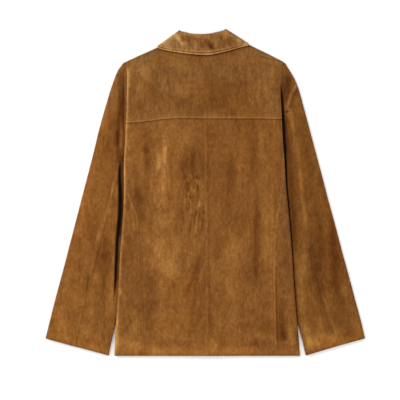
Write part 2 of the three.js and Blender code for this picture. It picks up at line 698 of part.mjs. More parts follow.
// A button with a raised rim round a shallow dish. It lies face down on the floor.
function button() {
  const profile = [
    [0, BUTTON_DISH], [BUTTON_RADIUS - BUTTON_RIM - 1, BUTTON_DISH], [BUTTON_RADIUS - BUTTON_RIM, 0],
    [BUTTON_RADIUS - 0.8, 0], [BUTTON_RADIUS, BUTTON_HEIGHT / 2], [BUTTON_RADIUS - 1.2, BUTTON_HEIGHT],
    [0, BUTTON_HEIGHT],
  ];
  const points = profile.map(([radius, z]) => new THREE.Vector2(radius, z));
  return new THREE.LatheGeometry(points, BUTTON_SIDES).rotateX(Math.PI / 2);
}

const jacket = new THREE.Group();
const suede = new THREE.MeshStandardMaterial(SUEDE);
const horn = new THREE.MeshStandardMaterial(HORN);
function add(name, geometry, material = suede) {
  const mesh = new THREE.Mesh(geometry, material);
  mesh.name = name;
  jacket.add(mesh);
  return mesh;
}

const yoke = yokeRows();
add("yoke", cloth(yoke));
const fronts = {};
for (const side of SIDES) {
  fronts[side] = frontRows(side);
  const sleeve = upperSleeveRows(side);
  add("back_" + side, backPanel(side));
  add("side_panel_" + side, sidePanel(side));
  add("front_" + side, cloth(fronts[side]));
  add("upper_sleeve_" + side, cloth(sleeve));
  add("under_sleeve_" + side, cloth(underSleeveRows(side, sleeve)));
}

const neckBack = neckPlaces(yoke.at(-1), YOKE_NECK);
const neckFront = {};
for (const side of SIDES) {
  neckFront[side] = neckPlaces(fronts[side].at(-1), FRONT_NECK);
  neckFront[side][0].lerp(neckFront[side][1], 0.18);
}
const backHeights = neckBack.map((p) => p.z);
const edgeHeights = {
  back: backHeights.map((z) => z + 2 * COLLAR_TURN),
  front: neckFront.left.map(() => COLLAR_WALL / 2),
};
const heightsOf = (side) => neckFront[side].map((p) => p.z);
const neckRing = ring(neckFront.left, neckBack, neckFront.right, NECK_OUT);
const foldRing = ring(
  spaced(COLLAR_FOLD.left, heightsOf("left")),
  spaced(COLLAR_FOLD.back, backHeights),
  spaced(COLLAR_FOLD.right, heightsOf("right")),
  FOLD_OUT,
);
const edgeRing = ring(
  spaced(COLLAR_EDGE.left, edgeHeights.front),
  spaced(COLLAR_EDGE.back, edgeHeights.back),
  spaced(COLLAR_EDGE.right, edgeHeights.front),
  EDGE_OUT,
);
add("collar_stand", cloth(collarStand(neckRing, foldRing)));
add("collar_fall", cloth(collarFall(neckRing, foldRing, edgeRing), COLLAR_WALL));
for (let i = 0; i < BUTTON_COUNT; i++) {
  add("button_" + (i + 1), button(), horn).position.set(0, BUTTON_TOP_Y - i * BUTTON_STEP, 0);
}

export default jacket;
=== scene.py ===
# A suede jacket laid flat on its front, seen from straight above: its looks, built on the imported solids.
# Tables and heights are in millimetres in the solids' frame, and become metres where a mesh is made.
import math
from functools import partial

import bmesh
import bpy
import numpy as np
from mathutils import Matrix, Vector
from mathutils.bvhtree import BVHTree


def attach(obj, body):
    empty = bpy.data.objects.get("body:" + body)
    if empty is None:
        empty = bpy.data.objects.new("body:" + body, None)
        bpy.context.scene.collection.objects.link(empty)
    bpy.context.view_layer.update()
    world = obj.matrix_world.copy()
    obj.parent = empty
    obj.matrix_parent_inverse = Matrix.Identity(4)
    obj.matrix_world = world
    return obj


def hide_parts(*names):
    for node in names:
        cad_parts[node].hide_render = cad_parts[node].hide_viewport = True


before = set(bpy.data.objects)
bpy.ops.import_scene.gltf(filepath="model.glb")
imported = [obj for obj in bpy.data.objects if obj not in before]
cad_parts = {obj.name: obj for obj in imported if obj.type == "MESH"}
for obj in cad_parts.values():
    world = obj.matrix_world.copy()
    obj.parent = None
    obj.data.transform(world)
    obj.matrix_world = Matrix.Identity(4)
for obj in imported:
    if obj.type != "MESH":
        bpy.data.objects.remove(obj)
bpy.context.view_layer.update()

MM = 0.001

# Cloth, as in the solids
WALL = 1.6
COLLAR_WALL = 1.8
SEAM = 0.3
REST = 0.4
FLOOR_LAYER = WALL / 2
BACK_LAYER = 6.2
FOLD_LAYER = 5.0
TUCKED_LAYER = 3.6
FREE_LAYER = 4.8
SLEEVE_RISE = 4.8
ARMHOLE_RISE = 1.0
CENTRE_RISE = 2.6
NECK_RISE = 1.8
COLLAR_RISE = 2.7
HEM_Y = -367
SHOULDER_Y = 292.6
ARMPIT_Y = 76
UNDERARM_Y = 61.5
SIDE_TOP_UNDER_Y = 17
SIDE_TOP_Y = 71
YOKE_LAP = 8
FRONT_LAP = 16
COLLAR_TURN = 1.3
BUTTON_HEIGHT = 2.8
BUTTON_TOP_Y = 214
BUTTON_STEP = 105
BUTTON_COUNT = 5

# Spacing of the visible meshes' points
STEP = 2.4
UNDERSIDE_STEP = 4.0
FRONT_COLUMN_STEP = 3.2

# Lengths and widths that the meshes' rows and columns are spread over
BACK_LENGTH = 541
BACK_WIDTH = 182
YOKE_LENGTH = 176
YOKE_WIDTH = 356
FRONT_LENGTH = 690
FRONT_WIDTH = 197
UNDER_SLEEVE_LENGTH = 425

# A fold's radius to begin with, and the most of a row that its fold may take up
START_RADIUS = 2.4
FOLD_SHARE = 0.4

# Steps round the turned edges
FOLD_TURNS = 9
SHOULDER_TURNS = 5
COLLAR_TURNS = 8

# The outer fold's last row at the cuff, and the slant of the upper sleeve's rows in degrees:
# at the shoulder point, just below it and lower down
CUFF_FOLD_Y = -328
SLEEVE_SLANTS = (-20, 33, 15.4)
# First and last y of the under sleeve at its back seam, its fold and its front seam
UNDER_SLEEVE_BACK = (75.5, -345)
UNDER_SLEEVE_FOLD = (13, -366.4)
UNDER_SLEEVE_FRONT = (61, -358.5)
# Where the yoke meets the side edges, and where the armhole in front ends
YOKE_SIDE_Y = 164
FRONT_SEAM_TOP_Y = 18

SIDES = ("left", "right")
OUTWARD = {"left": -1, "right": 1}

# Columns: y, then x on the left and on the right
SLEEVE_OUTER = (
    (292.6, -183.8, 177.8), (288, -188.3, 181.6), (283, -192.2, 184.8), (276, -197, 189.4),
    (249, -208, 204.2), (222, -217, 213.4), (195, -225, 220.6), (141, -240, 235.2), (87, -253, 249.5),
    (33, -267, 264), (-21, -281, 278), (-75, -295, 293), (-129, -309, 307), (-183, -323, 322),
    (-237, -337.7, 336.2), (-291, -351.2, 350.8), (-328, -360.3, 359.6),
)
SLEEVE_INNER = (
    (13, -120, 116), (-23, -123, 121), (-75, -136, 136), (-131, -153, 155), (-188, -171, 176),
    (-241, -189, 192), (-280, -199, 202), (-313, -206.5, 213), (-367, -218, 226),
)
SLEEVE_BACK_SEAM = (
    (76, -185, 178.8), (51, -197, 190.4), (6, -211, 204), (-50, -225, 215), (-118, -242, 231),
    (-220, -269, 260), (-324, -293, 290), (-350, -299, 300),
)
SLEEVE_FRONT_SEAM = (
    (61.5, -132, 128), (20, -146, 142), (-23, -152, 149), (-75, -165, 164), (-188, -200, 203),
    (-313, -236, 240), (-362, -246, 252),
)
BODY_EDGE = (
    (290, -181, 175), (265, -177, 169.5), (231, -177.4, 168.5), (186, -178, 171), (152, -180, 172.3),
    (119, -181, 174), (76, -183.6, 177.4), (29, -183.6, 180), (-32, -184.4, 185.8), (-95, -189, 191.4),
    (-156, -193.2, 195.9), (-219, -196.6, 200), (-282, -200.4, 205.4), (-320, -203.2, 209.4),
    (-367, -205, 213),
)
BACK_SIDE = (
    (72, -180, 173.6), (38, -179, 173.4), (15, -177, 171),
    (-12, -168, 166.5), (-34, -160, 164), (-103, -154.5, 156.5), (-174, -152, 155),
    (-266, -146.5, 157.5), (-367, -141, 160),
)
FRONT_ARMHOLE = (
    (290, -181, 175), (244, -164, 158), (188, -152, 146), (130, -145, 140), (86, -138, 134),
    (61.5, -132, 128), (13, -119, 115),
)
SIDE_FRONT_SEAM = ((18, -125, 121), (-100, -132, 130), (-367, -150, 152))

# Columns: x, y
YOKE_EDGE = ((-182, 156), (-147, 158), (-91, 165), (-57, 167), (0, 166), (100, 166), (175, 165))
YOKE_TOP = (
    (-188, 291), (-148, 309.5), (-108, 327), (-84, 337.5), (-75, 335.5), (-57, 330), (-30, 326.5),
    (0, 325.5), (28, 328), (46, 334), (60, 343), (68, 347), (98, 333), (140, 313), (180, 292.5),
)
FRONT_TOP = (
    (-188, 291), (-148, 309.5), (-108, 327), (-84, 337.5), (-75, 332), (-66, 307), (-47, 275),
    (-22, 256), (0, 251), (22, 257), (42, 281), (54, 312), (60, 341), (68, 347), (98, 333),
    (140, 313), (180, 292.5),
)
COLLAR_REACH = (
    (-150, 370), (-112, 312), (-97, 282), (-78, 249), (-55, 221), (-30, 249), (-3, 277),
    (3, 277), (30, 250), (53, 222), (76, 250), (92, 284), (102, 312), (140, 370),
)
COLLAR_FOLD = {
    "left": ((-2, 276), (-20, 283), (-38, 303), (-51, 331), (-56, 361.2)),
    "back": ((-56, 361.2), (-46, 359.1), (-30, 356), (-10, 354.7), (8, 355.8), (26, 359.4), (43.4, 364)),
    "right": ((2, 276), (18, 285), (33, 308), (43, 337), (43.4, 364)),
}
COLLAR_EDGE = {
    "left": ((-54, 223), (-77, 256), (-95, 290), (-106.3, 324.8)),
    "back": (
        (-106.3, 324.8), (-94, 321.3), (-78, 318.2), (-57, 314.8), (-35, 312), (-12, 310), (6, 310),
        (24, 312.5), (46, 317.5), (66, 323), (82, 327.8), (95.3, 330.6),
    ),
    "right": ((52, 224), (75, 259), (90, 296), (95.3, 330.6)),
}
NECK_OUT = {"left": (-0.5, 0.87), "right": (0.3, 0.95)}
FOLD_OUT = {"left": (-0.7, 0.71), "right": (0.7, 0.71)}
EDGE_OUT = {"left": (-0.43, 0.9), "right": (0.44, 0.9)}

# Soft folds, as in the solids. Columns: x and y of the start, x and y of the end, width, height
FOLDS = (
    (-12, -95, -42, -331, 13, -1.0), (-69, -16, -92, -250, 17, 1.2), (-122, -70, -128, -320, 13, -1.1),
    (-102, 141, -96, -20, 17, 0.9), (60, 120, 74, -160, 18, 0.9), (100, 60, 112, -331, 15, -1.1),
    (139, 60, 141, -309, 11, 1.1), (52, -120, 38, -340, 16, 1.0), (-60, 300, -88, 190, 16, -0.8),
    (68, 300, 92, 195, 18, -0.8), (-205, 70, -236, -140, 9, 2.2), (-228, 60, -262, -150, 10, -0.9),
    (-258, -150, -300, -300, 12, 0.9), (207, 250, 186, 216, 6, 1.6), (188, 226, 184, 180, 6, 1.2),
    (192, 150, 210, -20, 9, 2.0), (207, 20, 232, -160, 9, 1.6), (236, 150, 262, -80, 13, -0.8),
    (272, -110, 318, -300, 13, 0.9),
)
# Smaller creases of the cloth that shows, with the same columns
CREASES = (
    (-166, 6, -152, -60, 3.0, 0.55), (-172, -10, -160, -95, 3.0, -0.5), (-150, 95, -146, -40, 7, -0.6),
    (-118, 70, -108, -10, 4, 0.5), (-100, 92, -94, 28, 3.5, 0.55), (-84, 60, -80, 0, 4, 0.4),
    (-20, -20, -44, -92, 3.2, 0.5), (-12, -30, -34, -108, 3.0, -0.5), (-4, -28, -20, -84, 2.6, 0.4),
    (4, 96, 2, -20, 5, -0.35), (-44, 60, -40, 0, 8, -0.5), (-60, -70, -84, -190, 7, 0.5),
    (34, 20, 30, -110, 6, 0.45), (92, 120, 100, 0, 6, 0.45), (120, 40, 124, -90, 5, -0.4),
    (158, 40, 150, -60, 4, 0.5), (-148, 250, -160, 180, 6, -0.5), (-40, 262, -20, 214, 6, 0.4),
    (-60, 240, -50, 190, 7, -0.4), (60, 250, 52, 186, 8, 0.4), (128, 262, 150, 200, 8, -0.5),
    (-150, 150, -172, 148, 4, -0.4), (20, 300, 60, 292, 7, 0.35), (-210, 160, -216, 60, 7, -0.6),
    (-232, 40, -238, -60, 5, 0.5), (-246, -60, -262, -150, 4, 0.5), (-284, -120, -300, -200, 6, -0.5),
    (-262, -220, -276, -300, 5, 0.4), (202, 200, 214, 120, 7, -0.6), (226, 90, 236, 10, 6, 0.5),
    (248, 0, 262, -90, 6, -0.5), (246, -90, 262, -190, 5, 0.5), (300, -180, 318, -260, 6, 0.45),
    (204, 236, 190, 214, 3, 0.7), (190, 214, 184, 190, 3, 0.6), (-6, -122, -46, -240, 5, -0.5),
    (-5, -270, -36, -322, 4, -0.4), (-136, -253, -186, -314, 5, -0.5),
)
# Where the nap is lighter or darker, with painted highlights and painted shade on folds, creases, ridges,
# seams and edges. Columns: x and y of the start, x and y of the end, width, amount
BODY_NAP_AND_SHADE = (
    (-191, -84, -191, -210, 2.2, 0.12), (-192, -212, -190, -230, 4, 0.20), (-132, 112, -133, 44, 8, -0.13),
    (-105, 96, -108, 50, 5, 0.22), (-90, 108, -92, 64, 3.6, 0.23), (-95, 60, -94, 2, 5, 0.06),
    (-100, 60, -98, -10, 16, 0.07), (-158, 12, -140, -34, 9, -0.14), (-145, -30, -144, -68, 8, -0.13),
    (-97, -40, -97, -80, 14, 0.10), (-48, 80, -40, -4, 17, -0.12), (-28, 98, -29, 44, 6, -0.14),
    (-102, 84, -104, 50, 5, 0.13), (-136, 134, -134, 86, 8, -0.10), (-45, 118, -46, 50, 11, -0.09),
    (-165, 296, -100, 308, 9, 0.08), (128, 309, 168, 292, 8, 0.11), (150, -18, 150, -86, 7, 0.07),
    (66, 198, 66, 108, 13, -0.07), (-200, -276, -202, -358, 7, 0.36), (-122, -134, -122, -190, 8, 0.07),
    (-174, 120, -174, 92, 5, 0.07), (-120, 124, -120, 98, 7, -0.09), (-12, -40, -14, -68, 6, -0.07),
    (14, 264, 16, 205, 11, -0.08), (40, 244, 100, 246, 8, -0.06), (-12, 200, -12, 182, 8, -0.06),
    (-39, -148, -40, -174, 6, 0.10), (14, -122, 15, -222, 6, 0.08), (-66, -98, -68, -142, 7, 0.08),
    (-12, -254, -14, -288, 6, -0.08), (108, -322, 160, -324, 8, 0.09), (95, -200, 96, -226, 6, 0.06),
    (-174, 286, -175, 236, 7, 0.30), (150, 282, 150, 258, 8, 0.09), (-93, 264, -93, 230, 8, 0.08),
    (-93, 140, -93, 60, 6, 0.08), (-39, 16, -39, -14, 6, -0.13), (-120, -148, -120, -174, 7, 0.08),
    (96, -200, 96, -350, 9, 0.07), (177, -300, 177, -335, 7, -0.08), (-24, 130, -26, 100, 5, -0.05),
    (6, -344, 20, -356, 8, 0.14), (153.6, -140, 157.6, -366, 1.5, 0.13),
    (157.4, -170, 161.6, -366, 1.8, -0.17), (156, 48, 164, -30, 1.6, 0.10), (160, 20, 166, -60, 1.8, -0.08),
    (-166, 138, -160, 100, 12, 0.05), (-150, 140, -120, 136, 7, -0.07), (-40, 150, -70, 40, 9, 0.04),
    (-176, 2, -158, -46, 1.8, 0.16), (-170, 0, -152, -50, 1.6, -0.12), (-166, -40, -160, -84, 2, 0.10),
    (-95, 60, -88, 24, 1.8, 0.16), (-90, 56, -84, 20, 1.6, -0.10), (-80, 40, -84, 4, 1.8, 0.12),
    (-21, 39, -14, 28, 1.7, -0.18), (-24, 30, -19, 19, 1.6, 0.16), (-18, 21, -16, 2, 1.8, -0.20),
    (-13, 7, -4, 16, 2.2, 0.16), (-41, -6, -30, -12, 1.5, -0.18), (-39, 1, -37, -16, 1.6, 0.18),
    (-34, -17, -32, -29, 1.5, 0.16), (-30, 48, -26, 30, 2.2, -0.16), (-48, 44, -40, 18, 3, -0.12),
    (-24, 10, -30, -8, 1.6, 0.22), (-15, 2, -20, -26, 1.6, -0.26), (-13, -17, -16, -34, 1.6, 0.24),
    (-20, -36, -26, -76, 1.6, -0.22), (-32, -30, -36, -62, 1.8, 0.18), (-17, -46, -23, -74, 1.7, 0.20),
    (-5, -58, -10, -88, 1.8, -0.24), (-10, -30, -15.5, -56, 1.6, -0.20), (-11, -60, -12, -82, 1.5, 0.16),
    (-33, -62, -36, -96, 1.7, -0.16), (-40, 34, -48, 22, 1.8, 0.12), (-30, 30, -42, 14, 1.6, -0.13),
    (-52, 6, -58, -16, 1.6, 0.12), (-46, 0, -52, -22, 1.5, -0.12), (-22, -72, -24, -100, 1.5, 0.18),
    (-5, -30, -8, -46, 1.4, -0.16), (-40, -16, -46, -40, 1.6, -0.12), (-18, 40, -24, 26, 1.6, -0.12),
    (-12, 30, -18, 12, 1.5, 0.12), (-4, -20, -6, -60, 2, -0.08), (177, 94, 178, 18, 4, 0.16),
    (4.5, 33, 3.5, -3, 1.8, -0.13), (-15.5, 17, -20, -1, 1.8, -0.18), (-49.5, 9, -49, -5, 1.5, -0.15),
    (-44, 0, -43, -13, 1.5, -0.15), (-36, -4, -35, -16, 1.5, -0.15), (-39, 4, -40, -9, 1.5, 0.12),
    (-32, 15, -33, 4, 1.5, 0.14), (-57.5, -20, -49, -28, 1.6, -0.14), (-55, -37, -55, -48, 1.8, -0.16),
    (-41, -32, -41, -44, 1.6, -0.13), (-54, -79, -53, -88, 2, -0.13), (-36, -79, -36, -88, 2, -0.13),
    (-22, -90, -22, -102, 2.4, -0.15), (-1.5, -16, -1.5, -43, 1.5, 0.12), (0, -38, 0, -52, 1.5, -0.13),
    (-46, -20, -47, -36, 1.5, 0.11), (-50, -50, -51, -74, 1.5, -0.11), (-44, -52, -45, -76, 1.5, 0.09),
    (-30, -40, -31, -56, 1.5, -0.12), (-26, 4, -28, -12, 1.5, -0.13), (-57, 16, -57, -18, 6, -0.08),
    (-174, -14, -176, -42, 6, -0.08), (-176, -96, -178, -118, 6, -0.07), (-92, 66, -92, 40, 6, 0.09),
    (-93, 122, -93, 94, 5, 0.07), (-150, -314, -140, -354, 7, 0.09), (-72, -342, -60, -358, 7, 0.08),
    (200, -310, 206, -336, 6, -0.09), (180, -254, 182, -282, 5, 0.11), (-10, -174, -14, -202, 6, 0.08),
    (12, -66, 46, -94, 10, 0.08), (40, -202, 42, -226, 6, -0.07), (-40, 282, -38, 260, 7, 0.07),
    (68, 228, 70, 204, 7, -0.07), (-147, 203, -147, 176, 7, -0.08), (41, 122, 42, 96, 7, -0.08),
    (-93, 12, -94, -36, 6, 0.08), (-93, -176, -94, -200, 6, -0.08), (-39, -202, -40, -228, 6, -0.08),
    (-30, 20, -36, -10, 2, 0.10), (-44, 10, -46, -30, 3, 0.08), (-11, -130, -34, -310, 9, -0.13),
    (-4, -170, -8, -240, 5, -0.06), (-60, -90, -80, -200, 16, 0.07), (-120, -120, -128, -330, 12, -0.08),
    (-95, -180, -100, -340, 12, 0.05), (-150, -230, -164, -330, 10, 0.09),
    (-180, -120, -186, -200, 7, -0.07), (-6, -122, -46, -240, 3.5, -0.09), (4, -146, -32, -246, 3, 0.05),
    (-5, -270, -36, -322, 4, -0.07), (-136, -253, -186, -314, 4, -0.08), (-176, -240, -150, -262, 9, -0.10),
    (-190, -320, -150, -350, 12, 0.10), (125, 146, 124, 62, 5, 0.12), (108, 130, 104, 20, 6, -0.05),
    (84, 150, 80, 40, 7, 0.05), (60, 120, 56, -40, 8, -0.04), (136, -10, 134, -170, 9, 0.10),
    (116, 20, 112, -210, 7, -0.13), (96, -60, 92, -150, 8, 0.05), (62, -110, 60, -170, 14, 0.07),
    (42, -200, 66, -230, 9, 0.05), (30, -60, 26, -160, 9, -0.05), (100, -180, 84, -290, 12, -0.05),
    (60, -296, 130, -300, 6, -0.05), (172, -245, 170, -335, 10, -0.15), (190, -300, 196, -350, 7, 0.12),
    (178, -60, 184, -200, 7, -0.06), (160, -40, 168, -110, 4, 0.07), (10, -330, 30, -346, 9, 0.12),
    (110, -320, 120, -352, 5, -0.10), (-144, 246, -158, 200, 7, 0.08), (-56, 214, -50, 190, 20, -0.07),
    (10, 216, 20, 184, 24, -0.08), (-66, 250, -60, 214, 8, 0.08), (-44, 244, -40, 212, 5, 0.07),
    (118, 256, 120, 196, 4, 0.07), (134, 250, 140, 204, 4, 0.07), (90, 256, 92, 210, 6, -0.05),
    (-120, 250, -110, 200, 12, -0.05), (-90, 296, -40, 288, 14, 0.05), (40, 292, 90, 298, 12, 0.06),
    (-160, 286, -120, 300, 6, -0.06), (0, 290, 4, 240, 12, -0.04), (64, 232, 60, 190, 7, 0.05),
    (118, 309, 172, 294, 1.4, -0.16), (116, 313, 170, 298, 1.4, 0.10), (-174, 262, -176, 200, 2.4, 0.10),
    (-172, 300, -118, 262, 18, 0.11), (24, 250, 66, 186, 26, -0.09), (-34, 118, 10, 20, 20, -0.10),
    (-174, 86, -174, 26, 8, 0.10), (-92, 66, -94, -40, 9, 0.06), (-118, -96, -74, -196, 24, 0.16),
    (-147, -206, -147, -276, 9, -0.07), (56, -70, 70, -350, 24, 0.08), (150, -20, 150, -330, 8, 0.08),
    (-204, -330, -146, -352, 12, 0.11), (-124, -354, -60, -354, 9, 0.10), (20, -354, 130, -354, 9, 0.09),
    (176, -312, 178, -336, 8, -0.12), (-60, 300, 30, 300, 10, -0.04), (-18, 150, 20, 124, 12, -0.04),
    (-178, 152, -172, 146, 4, 0.10), (-150, -100, -160, -180, 3, 0.06), (-60, 30, -74, -60, 2.4, 0.07),
    (-118, 60, -122, 10, 2.4, 0.07), (-140, 80, -142, 20, 2.4, 0.06), (40, 130, 38, 60, 3, 0.05),
    (76, 90, 72, 10, 2.6, 0.06), (140, 60, 138, 10, 2.2, 0.07), (52, 60, 50, -20, 3, -0.05),
    (150, 40, 150, -40, 2.0, 0.08), (156, 20, 157, -60, 2.0, -0.07), (-130, -130, -140, -190, 4, 0.06),
)
LEFT_NAP_AND_SHADE = (
    (-189, 280, -192, 150, 8, -0.24), (-196.8, 166, -197, 52, 4, -0.22), (-222, -96, -232, -170, 7, -0.15),
    (-189, 140, -190, 88, 3, 0.05), (-185, 290, -204, 275, 5, 0.16), (-214, 236, -226, 190, 5, 0.06),
    (-184.5, 268, -184.5, 80, 2.6, -0.22), (-255, -256, -255, -292, 7, 0.12),
    (-228, -170, -228, -212, 6, -0.12), (-254, -70, -258, -114, 7, -0.08),
    (-254, -176, -256, -200, 6, -0.08), (-334, -230, -338, -252, 5, 0.10),
    (-282, -140, -286, -182, 7, -0.07), (-224, 60, -208, -30, 8, -0.06), (-250, -80, -238, -190, 9, -0.07),
    (-212, 100, -240, -60, 8, 0.05), (-224, -64, -262, -200, 7, -0.06), (-205, 44, -219, -60, 2.4, 0.16),
    (-238, -80, -262, -190, 3, 0.14), (-249, -178, -251, -198, 7, 0.14), (-262, -186, -270, -228, 2, -0.25),
    (-232, -60, -242, -110, 4, 0.08), (-222, 20, -240, -70, 7, -0.08), (-260, 60, -290, -100, 8, 0.05),
    (-222, 200, -236, 130, 8, 0.05), (-230, -200, -228, -280, 5, -0.08), (-268, -290, -262, -330, 14, 0.09),
    (-346, -250, -306, -326, 16, 0.12), (-210, -180, -206, -276, 11, 0.14),
    (-256, -206, -254, -276, 8, 0.06), (-228, -110, -230, -150, 8, -0.08), (-200, 226, -204, 180, 8, 0.08),
    (-222, 60, -228, 10, 8, -0.05), (-300, -150, -320, -240, 8, 0.05), (-240, -340, -236, -290, 6, 0.06),
    (-210, 180, -224, 60, 12, -0.08), (-244, 120, -262, 10, 5, 0.06), (-212, -110, -222, -190, 6, -0.10),
    (-276, -40, -286, -110, 6, 0.06), (-330, -310, -300, -334, 6, 0.08), (-200, 144, -202, 102, 6, -0.13),
)
RIGHT_NAP_AND_SHADE = (
    (186, 268, 186, 204, 9, -0.22), (180, 180, 190, 60, 6, -0.17), (190, 60, 203, -130, 7, -0.20),
    (206, 245, 193, 223, 2.0, 0.30), (193, 227, 186, 198, 2.0, 0.34), (187, 202, 181, 186, 2.0, 0.12),
    (210, 238, 198, 214, 3.4, -0.18), (198, 216, 194, 190, 4, -0.14), (179.5, 181, 188, 184.5, 1.5, -0.42),
    (187, 192, 200, 130, 5, 0.19), (200, 130, 213, 53, 5, 0.21), (213, 56, 216, 0, 4.5, 0.20),
    (280, -60, 298, -250, 9, -0.15), (228, -330, 262, -345, 9, 0.12), (300, -318, 336, -322, 6, -0.05),
    (228, -292, 233, -356, 8, 0.22), (258, -118, 262, -152, 7, -0.10), (338, -258, 346, -322, 5, 0.10),
    (308, -180, 322, -270, 6, 0.10), (176, 236, 177, 202, 5, -0.16), (174, 288, 178, 262, 5, 0.09),
    (257, -176, 260, -204, 7, 0.07), (215, 4, 228, -86, 4, 0.18), (228, -86, 222, -150, 8, 0.10),
    (216, -146, 217, -280, 9, 0.16), (217, -280, 224, -340, 9, 0.12), (222, 130, 238, 30, 8, -0.08),
    (236, -80, 262, -250, 13, -0.12), (236, 20, 252, -60, 8, -0.05), (270, 0, 300, -130, 6, -0.05),
    (292, -150, 316, -260, 6, 0.05), (328, -276, 342, -320, 7, 0.09), (258, -210, 296, -326, 2.4, 0.14),
    (252, -216, 268, -270, 5, -0.08), (284, -70, 306, -210, 9, -0.08), (226, -336, 316, -318, 15, 0.17),
    (203, 66, 212, 30, 8, 0.06), (240, -310, 300, -334, 8, 0.08), (196, 252, 204, 226, 6, 0.06),
    (222, -134, 230, -194, 9, 0.11), (256, -62, 264, -140, 7, -0.11), (256, 42, 260, 14, 6, -0.08),
    (310, -228, 314, -256, 7, -0.09), (256, -278, 260, -312, 7, 0.11), (228, -338, 236, -356, 8, 0.09),
)
COLLAR_NAP_AND_SHADE = (
    (-60, 363, -104, 330, 7, 0.26), (-69.5, 358, -47.7, 328, 2.4, 0.26), (-66, 356, -50, 326, 13, 0.14),
    (42, 362, 48, 346, 6, 0.12), (-62, 357, -12, 355, 4, 0.16), (68, 347, 97, 331, 8, 0.18),
    (-16, 332, 22, 327, 6, -0.18), (-54.5, 357, -47.7, 341, 2.2, -0.20), (-44, 356, -32, 347, 4, -0.14),
    (-39, 346, -34, 329, 2.5, -0.16), (-3, 345, 16, 327, 4.5, -0.18), (33, 354, 37, 340, 2.2, -0.22),
    (-26, 343, -20, 323, 2.4, 0.18), (-10.6, 329, -10.6, 318, 2, 0.14), (23.6, 345, 23.6, 323, 2.4, 0.12),
    (41, 363, 80, 337, 5, 0.14), (50, 352, 66, 346, 1.5, -0.12), (56, 344, 76, 337, 1.5, -0.12),
    (84, 334, 96, 330, 7, 0.26), (-92, 332, -74, 322, 8, 0.19), (-88, 328, -80, 322, 2, -0.10),
    (-30, 350, 4, 338, 9, -0.08), (8, 350, 12, 338, 2, 0.08), (2, 338, -2, 324, 2, 0.08),
    (44, 340, 50, 326, 2.2, 0.10), (14, 336, 12, 322, 2.0, -0.10), (60, 338, 66, 330, 2.4, 0.08),
    (-62, 340, -58, 326, 2.2, -0.12), (-66, 357, -60, 343, 5, 0.17), (-32, 352, 6, 350, 4, 0.11),
    (14, 331, 15, 321, 5, -0.08),
)

# Where the suede is warmer or greyer, with the same columns
BODY_WARMTH = (
    (-172, 288, -100, 322, 14, -2.0), (100, 326, 168, 297, 12, -1.8), (-176, 272, 170, 272, 14, -1.0),
    (-176, 260, -170, 200, 12, -1.0), (-120, 240, -70, 240, 16, -0.8), (-60, 236, 140, 214, 30, 1.0),
    (20, 175, 140, 175, 12, 1.2), (-110, -215, 10, -215, 24, 1.0), (-110, -285, 10, -295, 32, 1.0),
    (108, -130, 122, -250, 14, -0.8), (176, 60, 182, -260, 13, -1.6), (-200, -352, 120, -352, 12, 0.9),
    (-78, 30, -84, -40, 16, 0.9), (60, 120, 72, 40, 14, 0.6), (-150, 60, -150, -60, 10, -0.5),
)
LEFT_WARMTH = (
    (-188, 292, -214, 180, 14, -1.8), (-272, 20, -302, -150, 14, 1.0), (-236, -230, -232, -330, 12, -0.7),
    (-350, -310, -250, -345, 12, 1.2), (-246, -190, -250, -290, 8, -0.6),
)
RIGHT_WARMTH = (
    (184, 270, 190, 190, 9, -1.6), (200, 262, 216, 200, 8, -1.0), (262, 10, 302, -150, 14, 1.0),
    (330, -220, 346, -280, 8, -1.8), (232, -346, 344, -318, 9, 1.7), (214, 60, 222, -40, 7, 0.8),
)
COLLAR_WARMTH = ((-100, 330, -50, 345, 12, -1.6), (60, 345, 95, 332, 10, -0.9), (-40, 345, 40, 340, 12, -0.3))

# Mean colours of the suede on each piece, as shown (sRGB, 0 to 255)
SUEDE_COLOURS = {
    "yoke": (131, 86, 41), "back_left": (139, 90, 42), "back_right": (134, 85, 38),
    "sleeve_left": (138, 88, 39), "sleeve_right": (125, 79, 33), "collar": (140, 96, 51),
    "front": (134, 87, 42),
}

# The suede's colour for each channel, against the mean colour as shown, so that the lit cloth matches it
SUEDE_GAIN = np.array([0.72, 0.69, 0.62])
# How red, green and blue follow the nap's lightness and its painted light and shade: darker suede is redder,
# lighter suede yellower
HUE_TURN = np.array([0.84, 1.06, 1.34])
# How red, green and blue follow the shade of a hollow
SHADE_TURN = np.array([0.84, 1.0, 1.0])
# What one step of warmth does to red, green and blue
WARM_STEP = np.array([0.022, 0.0, -0.055])


def mix(a, b, t):
    return a + (b - a) * t


def smooth(x, low, high):
    t = np.clip((np.asarray(x, float) - low) / (high - low), 0, 1)
    return t * t * (3 - 2 * t)


def bump(x, middle, width):
    """A soft rise from 0 to 1 and back round a middle."""
    return np.exp(-(((x - middle) / width) ** 2))


def highest(*heights):
    """The greatest of several rises, blended where they are alike."""
    return sum(np.maximum(h, 0.0) ** 4 for h in heights) ** 0.25


def above(a, b):
    """The higher of two heights, blended where they are close."""
    return (a + b + np.sqrt((a - b) ** 2 + 0.6)) / 2


def unit(v):
    """The same directions at length one."""
    return v / np.maximum(np.linalg.norm(v, axis=-1, keepdims=True), 1e-9)


def column(table, at, place):
    """One column of a table, read between its rows by the first column."""
    rows = np.array(table, float)
    return np.interp(at, rows[:, 0], rows[:, place])


